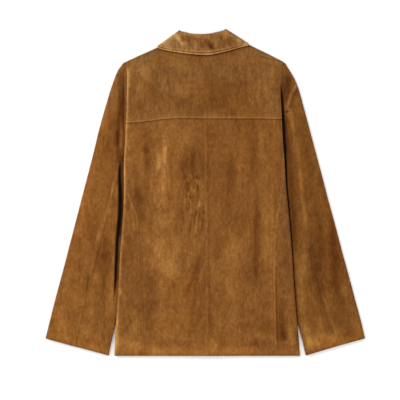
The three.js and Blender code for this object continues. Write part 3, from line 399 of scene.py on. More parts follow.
def curve(at, value):
    """A smooth curve through a table's rows that never overshoots them."""
    order = np.argsort(at)
    at = np.asarray(at, float)[order]
    value = np.asarray(value, float)[order]
    rise = np.diff(value) / np.diff(at)
    before = np.r_[rise[0], rise]
    after = np.r_[rise, rise[-1]]
    total = np.where(before * after > 0, before + after, 1)
    slope = np.where(before * after > 0, 2 * before * after / total, 0)

    def read(x):
        x = np.asarray(x, float)
        i = np.clip(np.searchsorted(at, x, side="right") - 1, 0, len(at) - 2)
        width = at[i + 1] - at[i]
        t = np.clip((x - at[i]) / width, 0, 1)
        bend = width * (slope[i] * t * (1 - t) ** 2 - slope[i + 1] * t**2 * (1 - t))
        return value[i] + (value[i + 1] - value[i]) * t * t * (3 - 2 * t) + bend

    return read


def sides(rows):
    """The curves of a table's left and right columns."""
    y, left, right = zip(*rows)
    return {"left": curve(y, left), "right": curve(y, right)}


sleeve_outer = sides(SLEEVE_OUTER)
sleeve_inner = sides(SLEEVE_INNER)
sleeve_back_seam = sides(SLEEVE_BACK_SEAM)
sleeve_front_seam = sides(SLEEVE_FRONT_SEAM)
body_edge = sides(BODY_EDGE)
back_side = sides(BACK_SIDE)
front_armhole = sides(FRONT_ARMHOLE)
side_front_seam = sides(SIDE_FRONT_SEAM)
yoke_edge = curve(*zip(*YOKE_EDGE))
yoke_top = curve(*zip(*YOKE_TOP))
front_top = curve(*zip(*FRONT_TOP))
collar_reach = curve(*zip(*COLLAR_REACH))


def centre_back(y):
    """The centre back seam's x, which leans a little."""
    return mix(4.7, 0, (y - HEM_Y) / 530)


def strokes(table, x, y):
    """The sum of a table's soft strokes at each point, each fading towards its two ends."""
    total = np.zeros(np.broadcast(x, y).shape)
    for x0, y0, x1, y1, width, height in table:
        dx, dy = x1 - x0, y1 - y0
        along = ((x - x0) * dx + (y - y0) * dy) / (dx * dx + dy * dy)
        aside = ((x - x0) * dy - (y - y0) * dx) / math.hypot(dx, dy)
        ends = smooth(along, -0.1, 0.25) * smooth(1 - along, -0.1, 0.25)
        total += height * ends * bump(aside, 0, width)
    return total


def ripple(x, y, across, along, seed):
    """Smooth seeded noise from -1 to 1, with patches of the given size."""
    grid = np.random.default_rng(seed).uniform(-1, 1, (64, 64))
    u, v = x / across + 500, y / along + 500
    i, j = np.floor(u).astype(int), np.floor(v).astype(int)
    s, t = smooth(u - i, 0, 1), smooth(v - j, 0, 1)
    low = mix(grid[i % 64, j % 64], grid[(i + 1) % 64, j % 64], s)
    high = mix(grid[i % 64, (j + 1) % 64], grid[(i + 1) % 64, (j + 1) % 64], s)
    return mix(low, high, t)


def crumple(x, y):
    """Small unevenness of the upper layers, longer from neck to hem than across."""
    small = 0.16 * ripple(x, y, 9, 24, 3) + 0.30 * ripple(x, y, 22, 60, 4)
    return small + strokes(CREASES, x, y)


def sleeve_height(side, x, y):
    """Height of a sleeve's upper layer, sewn to the body's edge or tucked under it."""
    from_fold = OUTWARD[side] * (sleeve_outer[side](y) - x)
    from_body = OUTWARD[side] * (x - body_edge[side](y))
    level = FOLD_LAYER + 0.8 * smooth(from_fold, 0, 25)
    at_body = mix(FREE_LAYER, TUCKED_LAYER, smooth(y, -345, -312))
    tucked = mix(at_body, level, smooth(from_body, -3, 15))
    groove = 0.8 * bump(from_body, 10, 6)
    sewn = level + 1.4 * (1 - smooth(from_body, 0, 6)) - groove
    hung = smooth(y, ARMPIT_Y - 1, ARMPIT_Y + 18)
    free = smooth(from_fold, 2, 16) * smooth(from_body, 0, 9)
    return mix(tucked, sewn, hung) + (strokes(FOLDS, x, y) + crumple(x, y)) * free


def over_sleeve(x, y):
    """How far the under sleeve lies below a point: 0 beside it, 1 well over it."""
    low = np.minimum(y, UNDER_SLEEVE_FOLD[0])
    inner = np.where(x < 0, sleeve_inner["left"](low), sleeve_inner["right"](low))
    inside = np.where(x < 0, inner - x, x - inner)
    armpit_line = UNDER_SLEEVE_FOLD[0] + np.maximum(inside, 0)
    below = 1 - smooth(y - armpit_line, 9, 32)
    return smooth(inside, -26, -5) * below * smooth(y, -352, -312)


def front_height(side, x, y):
    """Height of a front, over the buttons, the collar and the under sleeve."""
    button_rise = mix(BUTTON_HEIGHT + SEAM, COLLAR_RISE, smooth(y, 226, 250))
    buttons = button_rise * (1 - smooth(np.abs(x), 12, 36))
    collar = COLLAR_RISE * smooth(y - collar_reach(x), -34, -8)
    lap = 0
    if side == "left":
        lap = (WALL + REST) * (1 - smooth(np.abs(x), FRONT_LAP + 2, FRONT_LAP + 18))
    return FLOOR_LAYER + highest(buttons, collar, SLEEVE_RISE * over_sleeve(x, y)) + lap


def back_height(x, y, detail=True):
    """Height of the back and the yoke, over the fronts."""
    from_edge = np.minimum(x - body_edge["left"](y), body_edge["right"](y) - x)
    below = 1 - smooth(y, ARMPIT_Y - 20, ARMPIT_Y + 20)
    side_rise = SLEEVE_RISE * smooth(y, -352, -300) * below
    soft = np.maximum(side_rise, ARMHOLE_RISE * (1 - below)) * bump(from_edge, 0, 46)
    collared = smooth(y, 255, 298)
    centre = CENTRE_RISE * bump(x, 0, 48) * (1 - collared)
    neck = NECK_RISE * collared * (1 - smooth(np.abs(x + 4), 95, 150))
    level = BACK_LAYER + highest(soft, centre, neck)
    free = smooth(from_edge, 0, 25) * (1 - smooth(y, 270, 310))
    creased = level + strokes(FOLDS, x, y) * free
    if detail:
        creased = creased + crumple(x, y) * smooth(from_edge, 0, 6) * (1 - smooth(y, 290, 315)) + 0.1
    return above(creased, front_height("left", x, y) + WALL + REST)


def spread(length, step):
    """Places from 0 to 1 along a length, closer together at both ends."""
    count = max(3, int(round(length / step)))
    places = np.linspace(0, 1, count + 1)
    ends = np.array([0.5, 1.2, 3.4]) / length
    return np.unique(np.r_[places, ends, 1 - ends])


def floor_height(x, y):
    """Height of cloth that lies on the floor."""
    return np.full(x.shape, FLOOR_LAYER)


def fold_rows(top, edge, bottom, upper, lower):
    """Rows of cloth that run out on the upper layer, turn round a soft fold and come back below."""
    away = unit(unit(edge - top) + unit(edge - bottom))
    radius = np.full(len(edge), START_RADIUS)
    # A short row leaves little room for its fold
    room = FOLD_SHARE * np.linalg.norm(edge - top, axis=1)
    for _ in range(5):
        reach = np.minimum(radius, room)
        centre = edge - away * (reach + WALL / 2)[:, None]
        radius = (upper(centre[:, 0], centre[:, 1]) - lower(centre[:, 0], centre[:, 1])) / 2
    middle = lower(centre[:, 0], centre[:, 1]) + radius
    parts = []
    span = np.linalg.norm(centre - top, axis=1).max()
    for share in spread(span, STEP)[:-1]:
        p = mix(top, centre, share)
        parts.append(np.c_[p, upper(p[:, 0], p[:, 1])])
    for i in range(FOLD_TURNS + 1):
        angle = math.pi * (0.5 - i / FOLD_TURNS)
        p = centre + away * (reach * math.cos(angle))[:, None]
        parts.append(np.c_[p, middle + radius * math.sin(angle)])
    span = np.linalg.norm(centre - bottom, axis=1).max()
    for share in spread(span, UNDERSIDE_STEP)[1:]:
        p = mix(centre, bottom, share)
        parts.append(np.c_[p, lower(p[:, 0], p[:, 1])])
    return np.stack(parts, axis=1)


def meet(start, direction, line):
    """Where lines from start along a direction meet a curve x = line(y)."""
    near = np.zeros(len(start))
    far = np.full(len(start), 260.0)
    side = np.sign(start[:, 0] - line(start[:, 1]))
    for _ in range(40):
        middle = (near + far) / 2
        p = start + direction * middle[:, None]
        same = np.sign(p[:, 0] - line(p[:, 1])) == side
        near = np.where(same, middle, near)
        far = np.where(same, far, middle)
    return start + direction * near[:, None]


def upper_sleeve(side):
    """From the armhole and the back seam, round the outer fold, to the seam underneath."""
    out = OUTWARD[side]

    def top_line(y):
        return np.where(y > ARMPIT_Y, body_edge[side](y), sleeve_back_seam[side](y)) + out * SEAM / 2

    def under_line(y):
        armhole = front_armhole[side](y) + out * SEAM
        return np.where(y > UNDERARM_Y, armhole, sleeve_front_seam[side](y) + out * SEAM / 2)

    y = mix(SHOULDER_Y, CUFF_FOLD_Y, spread(SHOULDER_Y - CUFF_FOLD_Y, STEP))
    start = np.c_[sleeve_outer[side](y), y]
    below = SHOULDER_Y - y
    at_point, under_point, lower_down = SLEEVE_SLANTS
    slant = mix(mix(at_point, under_point, smooth(below, 0, 12)), lower_down, smooth(below, 0, 120))
    slant = np.radians(slant)
    inwards = np.c_[-out * np.cos(slant), -np.sin(slant)]
    top = meet(start, inwards, top_line)
    under = meet(start, inwards, under_line)
    return fold_rows(top, start, under, partial(sleeve_height, side), floor_height)


def under_sleeve(side):
    """From the back seam, round the inner fold, to the front seam underneath."""
    out = OUTWARD[side]
    share = spread(UNDER_SLEEVE_LENGTH, STEP)
    top_y = mix(*UNDER_SLEEVE_BACK, share)
    fold_y = mix(*UNDER_SLEEVE_FOLD, share)
    under_y = mix(*UNDER_SLEEVE_FRONT, share)
    top = np.c_[sleeve_back_seam[side](top_y) - out * SEAM / 2, top_y]
    fold = np.c_[sleeve_inner[side](fold_y), fold_y]
    under = np.c_[sleeve_front_seam[side](under_y) - out * SEAM / 2, under_y]
    return fold_rows(top, fold, under, partial(sleeve_height, side), floor_height)


def side_panel(side):
    """From the side-back seam, round the body's side edge, to the front's seam."""
    out = OUTWARD[side]
    share = spread(SIDE_TOP_Y - HEM_Y, STEP)
    y = mix(SIDE_TOP_Y, HEM_Y, share)
    top = np.c_[back_side[side](y) + out * SEAM / 2, y]
    edge = np.c_[body_edge[side](y), y]
    under_y = mix(SIDE_TOP_UNDER_Y, HEM_Y, share)
    under = np.c_[side_front_seam[side](under_y) + out * SEAM / 2, under_y]
    return fold_rows(top, edge, under, back_height, partial(front_height, side))


def back_panel(side):
    """From the centre seam to the side seam and the armhole, up to under the yoke."""
    out = OUTWARD[side]
    edge_top = yoke_edge(body_edge[side](YOKE_SIDE_Y)) + YOKE_LAP - SEAM
    # Two rows close together, where the side seam steps out to the armhole
    corner = (SIDE_TOP_Y + np.array([0.1, 0.6]) - HEM_Y) / (edge_top - HEM_Y)
    rows = np.unique(np.r_[spread(BACK_LENGTH, STEP), corner])
    up, across = np.meshgrid(rows, spread(BACK_WIDTH, STEP), indexing="ij")
    y = mix(HEM_Y, 170, up)
    for _ in range(8):
        corner_x = body_edge[side](y) - out * SEAM
        outer = np.where(y > SIDE_TOP_Y + 0.4, corner_x, back_side[side](y) - out * SEAM / 2)
        x = mix(centre_back(y) + out * SEAM / 2, outer, across)
        y = mix(HEM_Y, yoke_edge(x) + YOKE_LAP - SEAM, up)
    return np.stack([x, y, back_height(x, y)], axis=2)


def shoulder_turn(x, edge_y, height, other, share):
    """The last stretch of a panel, which turns towards the other layer where it meets the shoulder."""
    neck = 1 - smooth(np.abs(x + 7.5), 70, 79)
    angle = math.pi / 2 * (1 - neck) + 1e-3
    gap = np.abs(height - other)
    bend = mix(gap / 2, 4 / angle, neck)
    y = edge_y - (WALL / 2) * np.sin(angle) - bend * np.sin(angle) + bend * np.sin(angle * share)
    drop = bend * (1 - np.cos(angle * share)) * (1 - SEAM / gap)
    return y, height + np.sign(other - height) * drop


def yoke():
    """From its lapped hem up to the shoulders, where it turns down to the fronts."""
    up = np.r_[spread(YOKE_LENGTH, STEP), 1 + np.arange(1, SHOULDER_TURNS + 1) / SHOULDER_TURNS]
    up, across = np.meshgrid(up, spread(YOKE_WIDTH, STEP), indexing="ij")
    y = np.full(up.shape, 200.0)
    for _ in range(10):
        x = mix(body_edge["left"](y) + SEAM / 2, body_edge["right"](y) - SEAM / 2, across)
        top_y = yoke_top(x)
        height = back_height(x, top_y, detail=False)
        other = front_height("right", x, top_y)
        turned_y, turned_z = shoulder_turn(x, top_y, height, other, np.clip(up - 1, 0, 1))
        y = np.where(up <= 1, mix(yoke_edge(x), turned_y, np.minimum(up, 1)), turned_y)
    lapped = (WALL + REST) * (1 - smooth(y - yoke_edge(x), YOKE_LAP + 1, 23))
    z = np.where(up <= 1, back_height(x, y) - 0.1 * smooth(y, 250, 290) + lapped, turned_z)
    return np.stack([x, y, z], axis=2)


def front(side):
    """From the centre lap to the side seam and the armhole, up to the shoulder and neck."""
    out = OUTWARD[side]
    rows = spread(FRONT_LENGTH, UNDERSIDE_STEP)
    up = np.r_[rows, 1 + np.arange(1, SHOULDER_TURNS + 1) / SHOULDER_TURNS]
    up, across = np.meshgrid(up, spread(FRONT_WIDTH, FRONT_COLUMN_STEP), indexing="ij")
    y = mix(HEM_Y, 250, np.minimum(up, 1))
    for _ in range(24):
        at_armhole = front_armhole[side](y) - out * SEAM
        at_seam = side_front_seam[side](y) - out * SEAM / 2
        side_x = np.where(y > FRONT_SEAM_TOP_Y, at_armhole, at_seam)
        x = mix(-out * FRONT_LAP, side_x, across)
        top_y = front_top(x)
        height = front_height(side, x, top_y)
        other = back_height(x, top_y, detail=False)
        turned_y, turned_z = shoulder_turn(x, top_y, height, other, np.clip(up - 1, 0, 1))
        y = mix(y, np.where(up <= 1, mix(HEM_Y, turned_y, np.minimum(up, 1)), turned_y), 0.6)
    z = np.where(up <= 1, front_height(side, x, y), turned_z)
    return np.stack([x, y, z], axis=2)


def lengths_along(line):
    return np.r_[0, np.cumsum(np.linalg.norm(np.diff(line, axis=0), axis=1))]


def points_at(line, along, places):
    return np.c_[np.interp(places, along, line[:, 0]), np.interp(places, along, line[:, 1])]


def spline(table, count):
    """Evenly spaced points on a smooth curve through a table's places."""
    p = np.asarray(table, float)
    p = np.vstack([2 * p[0] - p[1], p, 2 * p[-1] - p[-2]])
    dense = []
    for i in range(1, len(p) - 2):
        a, b, c, d = p[i - 1 : i + 3]
        slope, bend, twist = c - a, 2 * a - 5 * b + 4 * c - d, 3 * b - a - 3 * c + d
        for t in np.linspace(0, 1, 24, endpoint=i == len(p) - 3):
            dense.append(0.5 * (2 * b + slope * t + bend * t**2 + twist * t**3))
    dense = np.array(dense)
    along = lengths_along(dense)
    return points_at(dense, along, np.linspace(0, along[-1], count))


# Points along the collar: on each front, across the back, and round each turn between them
FRONT_POINTS = 34
BACK_POINTS = 66
TURN_POINTS = 10
# Where the collar's stand is sewn on along the neck, from the centre front outwards
LEFT_NECK_X = (-2.0, -12, -23, -35, -47, -57, -66, -75)
RIGHT_NECK_X = (2.0, 12, 22, 32, 41, 49, 55, 60)
# Rows of the collar's fall below its turn, closer together at the stitched edge
FALL_ROWS = np.r_[np.linspace(0, 0.82, 16)[1:], 0.845, 0.87, 0.89, 0.91, 0.93, 0.95, 0.965, 0.98, 0.99, 1]


def neck_line(xs, top, height):
    """Where the collar's stand is sewn on, just clear of a panel's top edge."""
    y = top(xs)
    along = unit(np.gradient(np.c_[xs, y], axis=0))
    facing = np.sign(along[:, 0])
    return np.c_[xs - along[:, 1] * REST * facing, y + along[:, 0] * REST * facing, height(xs, y)]


def collar_ring(left, back, right, out):
    """One ring of the collar: points, the way each faces, and its angle from level."""
    points, faces, angles = [], [], []

    def put(p, side, angle):
        points.append(p)
        faces.append(out[side])
        angles.append(angle)

    def half_turn(under, over, side, order):
        radius = (over[2] - under[2]) / 2
        for i in order:
            angle = math.pi * (i / TURN_POINTS - 0.5)
            p = mix(under, over, i / TURN_POINTS)
            p[:2] += np.array(out[side]) * radius * math.cos(angle)
            p[2] = under[2] + radius + radius * math.sin(angle)
            put(p, side, angle)

    for p in left:
        put(p, "left", -math.pi / 2)
    half_turn(left[-1], back[0], "left", range(1, TURN_POINTS))
    for i, p in enumerate(back):
        put(p, "left" if i < len(back) / 2 else "right", math.pi / 2)
    half_turn(right[-1], back[-1], "right", range(TURN_POINTS - 1, 0, -1))
    for p in right[::-1]:
        put(p, "right", -math.pi / 2)
    return np.array(points), np.array(faces), np.array(angles)


def collar_rings():
    """The collar's rings of points: where it is sewn on, its fold and its free edge."""
    rings = {}
    fronts = {}
    for side, xs in (("left", LEFT_NECK_X), ("right", RIGHT_NECK_X)):
        places = np.linspace(0, len(xs) - 1, FRONT_POINTS)
        fine = np.interp(places, np.arange(len(xs)), xs)
        fronts[side] = neck_line(fine, front_top, partial(front_height, side))
    back_x = np.linspace(LEFT_NECK_X[-1], RIGHT_NECK_X[-1], BACK_POINTS)
    back = neck_line(back_x, yoke_top, partial(back_height, detail=False))
    rings["neck"] = collar_ring(fronts["left"], back, fronts["right"], NECK_OUT)

    def level(table, count, heights):
        return np.c_[spline(table, count), heights]

    rings["fold"] = collar_ring(
        level(COLLAR_FOLD["left"], FRONT_POINTS, fronts["left"][:, 2]),
        level(COLLAR_FOLD["back"], BACK_POINTS, back[:, 2]),
        level(COLLAR_FOLD["right"], FRONT_POINTS, fronts["right"][:, 2]),
        FOLD_OUT,
    )
    flat = np.full(FRONT_POINTS, COLLAR_WALL / 2)
    rings["edge"] = collar_ring(
        level(COLLAR_EDGE["left"], FRONT_POINTS, flat),
        level(COLLAR_EDGE["back"], BACK_POINTS, back[:, 2] + 2 * COLLAR_TURN),
        level(COLLAR_EDGE["right"], FRONT_POINTS, flat),
        EDGE_OUT,
    )
    return rings


def collar_stand(rings):
    """The band from the neck up to the collar's fold."""
    neck, fold = rings["neck"][0], rings["fold"][0]
    return np.stack([mix(neck, fold, s) for s in np.linspace(0, 0.97, 9)])


def collar_fall(rings):
    """From the collar's fold, round its turn, down to the free edge."""
    neck, _, _ = rings["neck"]
    fold, faces, angles = rings["fold"]
    edge = rings["edge"][0]
    along = unit(np.gradient(fold, axis=0))
    up = fold - neck
    up = unit(up - along * (up * along).sum(1, keepdims=True))
    aside = np.cos(angles)
    outwards = np.c_[faces * aside[:, None], np.sin(angles)]
    under = (aside < 0.01) & (angles < 0)
    radius = np.where(under, (fold[:, 2] - COLLAR_WALL / 2) / 2, COLLAR_TURN)[:, None]
    rows = []
    for turn in np.linspace(0, math.pi, COLLAR_TURNS + 1):
        rows.append(fold + outwards * radius * (1 - math.cos(turn)) + up * radius * math.sin(turn))
    turned = rows[-1]
    for share in FALL_ROWS:
        rows.append(mix(turned, edge, share))
    rows = np.stack(rows)
    # The fall is softly bowed across its middle
    back = smooth(np.sin(angles), 0.2, 1.0)
    fall = rows[COLLAR_TURNS:]
    bow = 0.7 * np.sin(np.linspace(0, math.pi, len(fall)))
    fall[..., 2] += bow[:, None] * back * (1 + 0.6 * ripple(fall[..., 0], fall[..., 1], 26, 22, 8))
    return rows


def edge_distances(p):
    """How far each point of a grid is from its first row, last row, first column and last column."""
    along_rows = np.linalg.norm(np.diff(p, axis=1), axis=2)
    along_columns = np.linalg.norm(np.diff(p, axis=0), axis=2)
    row = np.concatenate([np.zeros((p.shape[0], 1)), np.cumsum(along_rows, axis=1)], axis=1)
    down = np.concatenate([np.zeros((1, p.shape[1])), np.cumsum(along_columns, axis=0)], axis=0)
    return {"first": down, "last": down[-1:] - down, "start": row, "end": row[:, -1:] - row}


def grid_normals(p):
    return unit(np.cross(np.gradient(p, axis=0), np.gradient(p, axis=1)))


NAP_AND_SHADE_STRENGTH = 1.35
DISPLAY_GAMMA = 2.2

# The painted shade of the hollow beside the body on the left. Columns: y, its middle from the body's edge,
# half its width
LEFT_HOLLOW_SHADE = (
    (-241, 8.6, 1.6), (-196, 7.2, 2.6), (-151, 7.8, 3.1), (-106, 9.0, 3.3), (-61, 7.8, 3.9),
    (-16, 8.2, 4.0), (29, 9.9, 2.9), (51, 9.9, 2.2), (64, 8.8, 1.2),
)
# The painted shade on the right, against the body's edge. Columns: y, half its width
RIGHT_HOLLOW_SHADE = (
    (-330, 1.1), (-240, 1.5), (0, 2.4), (60, 3.4), (100, 4.8), (150, 5.0), (200, 3.7), (250, 1.7),
)
# The collar's shadow on the yoke. Columns: x, strength
COLLAR_SHADOW = ((-110, 0.1), (-90, 0.25), (-20, 0.45), (60, 0.45), (98, 0.2))
# Uneven tone. Columns: strength, patches' width, their length, seed
CHANCE = ((0.035, 11, 26, 11), (0.05, 28, 60, 12), (0.03, 4.5, 8, 13))


def chance_tone(x, y):
    return sum(strength * ripple(x, y, width, length, seed) for strength, width, length, seed in CHANCE)


def nap_and_shade_from(table, x, y):
    """Lightness of the nap with its painted highlights and shade, 1 in the mean."""
    return 1 + NAP_AND_SHADE_STRENGTH * strokes(table, x, y) + chance_tone(x, y)


def body_tone(x, y, upper):
    """The back's nap with painted light and shade, a painted highlight on its left side edge, painted shade
    on its right one, and the collar's painted shadow.
    """
    from_left = x - body_edge["left"](y)
    # Painted highlight along the left side edge, and painted shade along the right side edge
    lit = 0.16 + 0.30 * smooth(y, -70, 0) + 0.16 * (1 - smooth(y, -300, -220))
    lit = lit * (1 - smooth(y, 240, 276))
    from_right = body_edge["right"](y) - x
    edges = lit * bump(from_left, 1.8, 2.8) - 0.10 * bump(from_right, 0, 5) * (1 - smooth(y, 200, 250))
    nap = nap_and_shade_from(BODY_NAP_AND_SHADE, x, y) + edges * upper
    # Painted shadow of the collar on the yoke below it
    from_collar = column(COLLAR_EDGE["back"], x, 1) - y
    under_collar = column(COLLAR_SHADOW, x, 1) * bump(from_collar, 0.8, 2.6) * (np.abs(x) < 110)
    return nap, strokes(BODY_WARMTH, x, y), 1 - under_collar


def front_tone(x, y, upper):
    """The hidden fronts have the back's nap and painted light and shade the other way round, and fainter."""
    nap = 1 + strokes(BODY_NAP_AND_SHADE, -x, y) + chance_tone(x, y)
    return nap, strokes(BODY_WARMTH, -x, y), np.ones(x.shape)


def collar_tone(x, y, upper):
    """The collar's streaked nap with painted light and shade, and painted light along its fold."""
    from_fold = column(COLLAR_FOLD["back"], x, 1) - y
    rim = 0.14 * bump(from_fold, 0.6, 1.8) * (np.abs(x) < 60)
    nap = nap_and_shade_from(COLLAR_NAP_AND_SHADE, x, y) + chance_tone(x, y) + rim
    return nap, strokes(COLLAR_WARMTH, x, y), np.ones(x.shape)


def hollow(from_body, middle, half, strength):
    """How much light a narrow hollow of the given half width lets through."""
    core = 0.6 * half
    return 1 - strength * bump(np.maximum(np.abs(from_body - middle) - core, 0), 0, core)


def sleeve_left_tone(x, y, upper):
    """The left sleeve's nap with painted light and shade, and the painted shade of the wide hollow where it
    goes under the body.
    """
    from_body = body_edge["left"](y) - x
    middle = column(LEFT_HOLLOW_SHADE, y, 1)
    half = column(LEFT_HOLLOW_SHADE, y, 2)
    # Painted shade in the hollow, round it and along the armhole seam, on upward faces only
    strength = 0.85 * smooth(y, -262, -186) * (1 - smooth(y, 60, 74))
    around = mix(0.12, 0.36, smooth(y, -114, -86)) * smooth(y, -290, -200) * (1 - smooth(y, 60, 120))
    around = around * (1 - smooth(from_body, middle - 2, middle + 6))
    seam = 0.25 * bump(from_body, 0, 1.4) * (y > ARMPIT_Y)
    shade = hollow(from_body, middle, half, strength) * (1 - around) * (1 - seam)
    return nap_and_shade_from(LEFT_NAP_AND_SHADE, x, y), strokes(LEFT_WARMTH, x, y), mix(1, shade, upper)


def sleeve_right_tone(x, y, upper):
    """The right sleeve's nap with painted light and shade, and painted shade in a narrow black line beside
    the body's edge.
    """
    from_body = x - body_edge["right"](y)
    half = column(RIGHT_HOLLOW_SHADE, y, 1)
    strength = 0.90 * smooth(y, -330, -290) * (1 - smooth(y, 214, 256))
    shade = hollow(from_body, half / 3, half, strength)
    return nap_and_shade_from(RIGHT_NAP_AND_SHADE, x, y), strokes(RIGHT_WARMTH, x, y), mix(1, shade, upper)


# Painted highlights on the raised edges and seam ridges, and painted shade in the grooves and under the laps
# beside them, along a piece's edges: distance from the edge, width, amount
SEWN_EDGE = ((0, 1.7, 0.15), (4.4, 1.9, -0.06))
FAINT_EDGE = ((0, 1.7, 0.04), (4.4, 1.9, -0.04))
YOKE_HEM = ((0, 0.9, -0.22), (3.1, 1.5, 0.28), (5.8, 1.2, -0.06), (8.0, 1.4, 0.12))
COLLAR_HEM = ((0, 0.4, -0.10), (1.6, 1.4, 0.50), (4.4, 1.1, -0.36), (7.0, 1.3, 0.30))
HEM = ((0, 1.0, -0.14), (9, 8, 0.12))
# How much thinner the cloth is at its very edge, as a share of its wall, and how far in that goes
SEAM_DIP = 0.25
SEAM_ROUNDING = 2.2
# The low ridge along every edge, where the cloth is doubled, and the higher one of yoke and collar
RIDGE_PLACE = 3.6
RIDGE_WIDTH = 2.2
RIDGE_HEIGHT = 0.22
HIGH_RIDGE_HEIGHT = 0.3
# The darkest and lightest that the nap with its painted light and shade may be
DARKEST = 0.2
LIGHTEST = 1.6


def nap_and_shade_tint(p, normal, distances, tone, lines):
    """What the suede's own colour is multiplied by at each point: nap, the painted light and shade of the
    edge lines, warmth and painted shade.
    """
    nap, warmth, shade = tone(p[..., 0], p[..., 1], smooth(normal[..., 2], -0.2, 0.5))
    edge_lines = {**dict.fromkeys(distances, SEWN_EDGE), **lines}
    for edge, bands in edge_lines.items():
        for middle, width, amount in bands:
            nap = nap + amount * bump(distances[edge], middle, width)
    seen = np.clip(nap, DARKEST, LIGHTEST)[..., None] ** HUE_TURN * (1 + warmth[..., None] * WARM_STEP)
    seen = seen * shade[..., None] ** SHADE_TURN
    return seen.reshape(-1, 3) ** DISPLAY_GAMMA


def face_outwards(mesh):
    """Turns a closed mesh's faces round if they face inwards."""
    bm = bmesh.new()
    bm.from_mesh(mesh)
    if bm.calc_volume(signed=True) < 0:
        bmesh.ops.reverse_faces(bm, faces=bm.faces)
        bm.to_mesh(mesh)
    bm.free()


def shell_mesh(name, upper, lower):
    """A closed mesh between two grids of points, joined round their rims."""
    rows, columns = upper.shape[:2]
    points = np.concatenate([upper.reshape(-1, 3), lower.reshape(-1, 3)]) * MM
    index = np.arange(rows * columns).reshape(rows, columns)
    corners = [index[:-1, :-1], index[1:, :-1], index[1:, 1:], index[:-1, 1:]]
    quads = np.stack(corners, axis=2).reshape(-1, 4)
    below = rows * columns
    rim = np.concatenate([index[:-1, 0], index[-1, :-1], index[:0:-1, -1], index[0, :0:-1]])
    after = np.roll(rim, -1)
    rim_faces = np.stack([rim, rim + below, after + below, after], axis=1)
    faces = np.concatenate([quads, quads[:, ::-1] + below, rim_faces[:, ::-1]])
    mesh = bpy.data.meshes.new(name)
    mesh.vertices.add(len(points))
    mesh.vertices.foreach_set("co", points.astype(np.float32).ravel())
    mesh.loops.add(faces.size)
    mesh.loops.foreach_set("vertex_index", faces.astype(np.int32).ravel())
    mesh.polygons.add(len(faces))
    mesh.polygons.foreach_set("loop_start", np.arange(0, faces.size, 4, dtype=np.int32))
    mesh.update(calc_edges=True)
    mesh.validate()
    face_outwards(mesh)
    return mesh


def put_in_scene(name, mesh, material):
    """A smooth piece made of a mesh and one material."""
    mesh.polygons.foreach_set("use_smooth", np.ones(len(mesh.polygons), bool))
    mesh.materials.append(material)
    piece = bpy.data.objects.new(name, mesh)
    bpy.context.scene.collection.objects.link(piece)
    return piece


def joined_mesh(name, points, faces, material):
    mesh = bpy.data.meshes.new(name)
    mesh.from_pydata([tuple(p) for p in points], [], [tuple(f) for f in faces])
    mesh.update()
    return put_in_scene(name, mesh, material)


def cloth(name, p, material, tone=body_tone, wall=WALL, relief=RIDGE_HEIGHT, lines=None):
    """A closed thin shell round a grid of mid-surface points, soft at its edges, with a tint of its nap and
    painted light and shade.
    """
    normal = grid_normals(p)
    if normal[p.shape[0] // 2, 2, 2] < 0:
        normal = -normal
    distances = edge_distances(p)
    from_edge = np.minimum.reduce(list(distances.values()))
    half = wall / 2 * mix(1 - SEAM_DIP, 1, smooth(from_edge, -SEAM, SEAM_ROUNDING))
    ridge = relief * bump(from_edge, RIDGE_PLACE, RIDGE_WIDTH)
    upper = p + normal * (half + ridge)[..., None]
    lower = p - normal * half[..., None]
    for surface in (upper, lower):
        surface[..., 2] = np.maximum(surface[..., 2], 0.0)
    mesh = shell_mesh(name, upper, lower)
    tint = nap_and_shade_tint(p, normal, distances, tone, lines or {})
    attribute = mesh.attributes.new("nap_and_shade_tint", "FLOAT_VECTOR", "POINT")
    attribute.data.foreach_set("vector", np.tile(tint.ravel(), 2).astype(np.float32))
    return put_in_scene(name, mesh, material)


def linear(colour):
    """A colour as shown, turned into the renderer's linear values."""
    c = np.asarray(colour, float) / 255
    return tuple(np.where(c <= 0.04045, c / 12.92, ((c + 0.055) / 1.055) ** 2.4))


class Nodes:
    """A short way to add and join a material's nodes."""

    def __init__(self, name):
        self.material = bpy.data.materials.new(name)
        self.material.use_nodes = True
        self.tree = self.material.node_tree
        self.shader = self.tree.nodes["Principled BSDF"]

    def fill(self, node, inputs):
        """Joins each of a node's inputs to a socket, or gives it a value."""
        for key, value in inputs.items():
            if isinstance(value, bpy.types.NodeSocket):
                self.tree.links.new(value, node.inputs[key])
            else:
                node.inputs[key].default_value = value

    def add(self, kind, inputs=None, **settings):
        node = self.tree.nodes.new(kind)
        for key, value in settings.items():
            setattr(node, key, value)
        self.fill(node, inputs or {})
        return node

    def stretched(self, vector, along):
        """Places pulled out from neck to hem, so that marks made from them are longer that way."""
        node = self.add("ShaderNodeMapping", {"Vector": vector, "Scale": (1.0, along, 1.0)})
        return node.outputs["Vector"]

    def noise(self, vector, scale, detail, roughness=0.55, distortion=0.0):
        inputs = {"Vector": vector, "Scale": scale, "Detail": detail}
        inputs.update({"Roughness": roughness, "Distortion": distortion})
        return self.add("ShaderNodeTexNoise", inputs).outputs["Fac"]

    def raised(self, height, strength, distance, **inputs):
        inputs.update({"Strength": strength, "Distance": distance, "Height": height})
        return self.add("ShaderNodeBump", inputs).outputs["Normal"]


def ramp(nodes, factor, stops):
    """A colour ramp through the given places and colours."""
    node = nodes.add("ShaderNodeValToRGB", {"Fac": factor})
    elements = node.color_ramp.elements
    while len(elements) < len(stops):
        elements.new(0.5)
    for element, (place, colour) in zip(elements, stops):
        element.position = place
        element.color = (*colour, 1)
    return node.outputs["Color"]


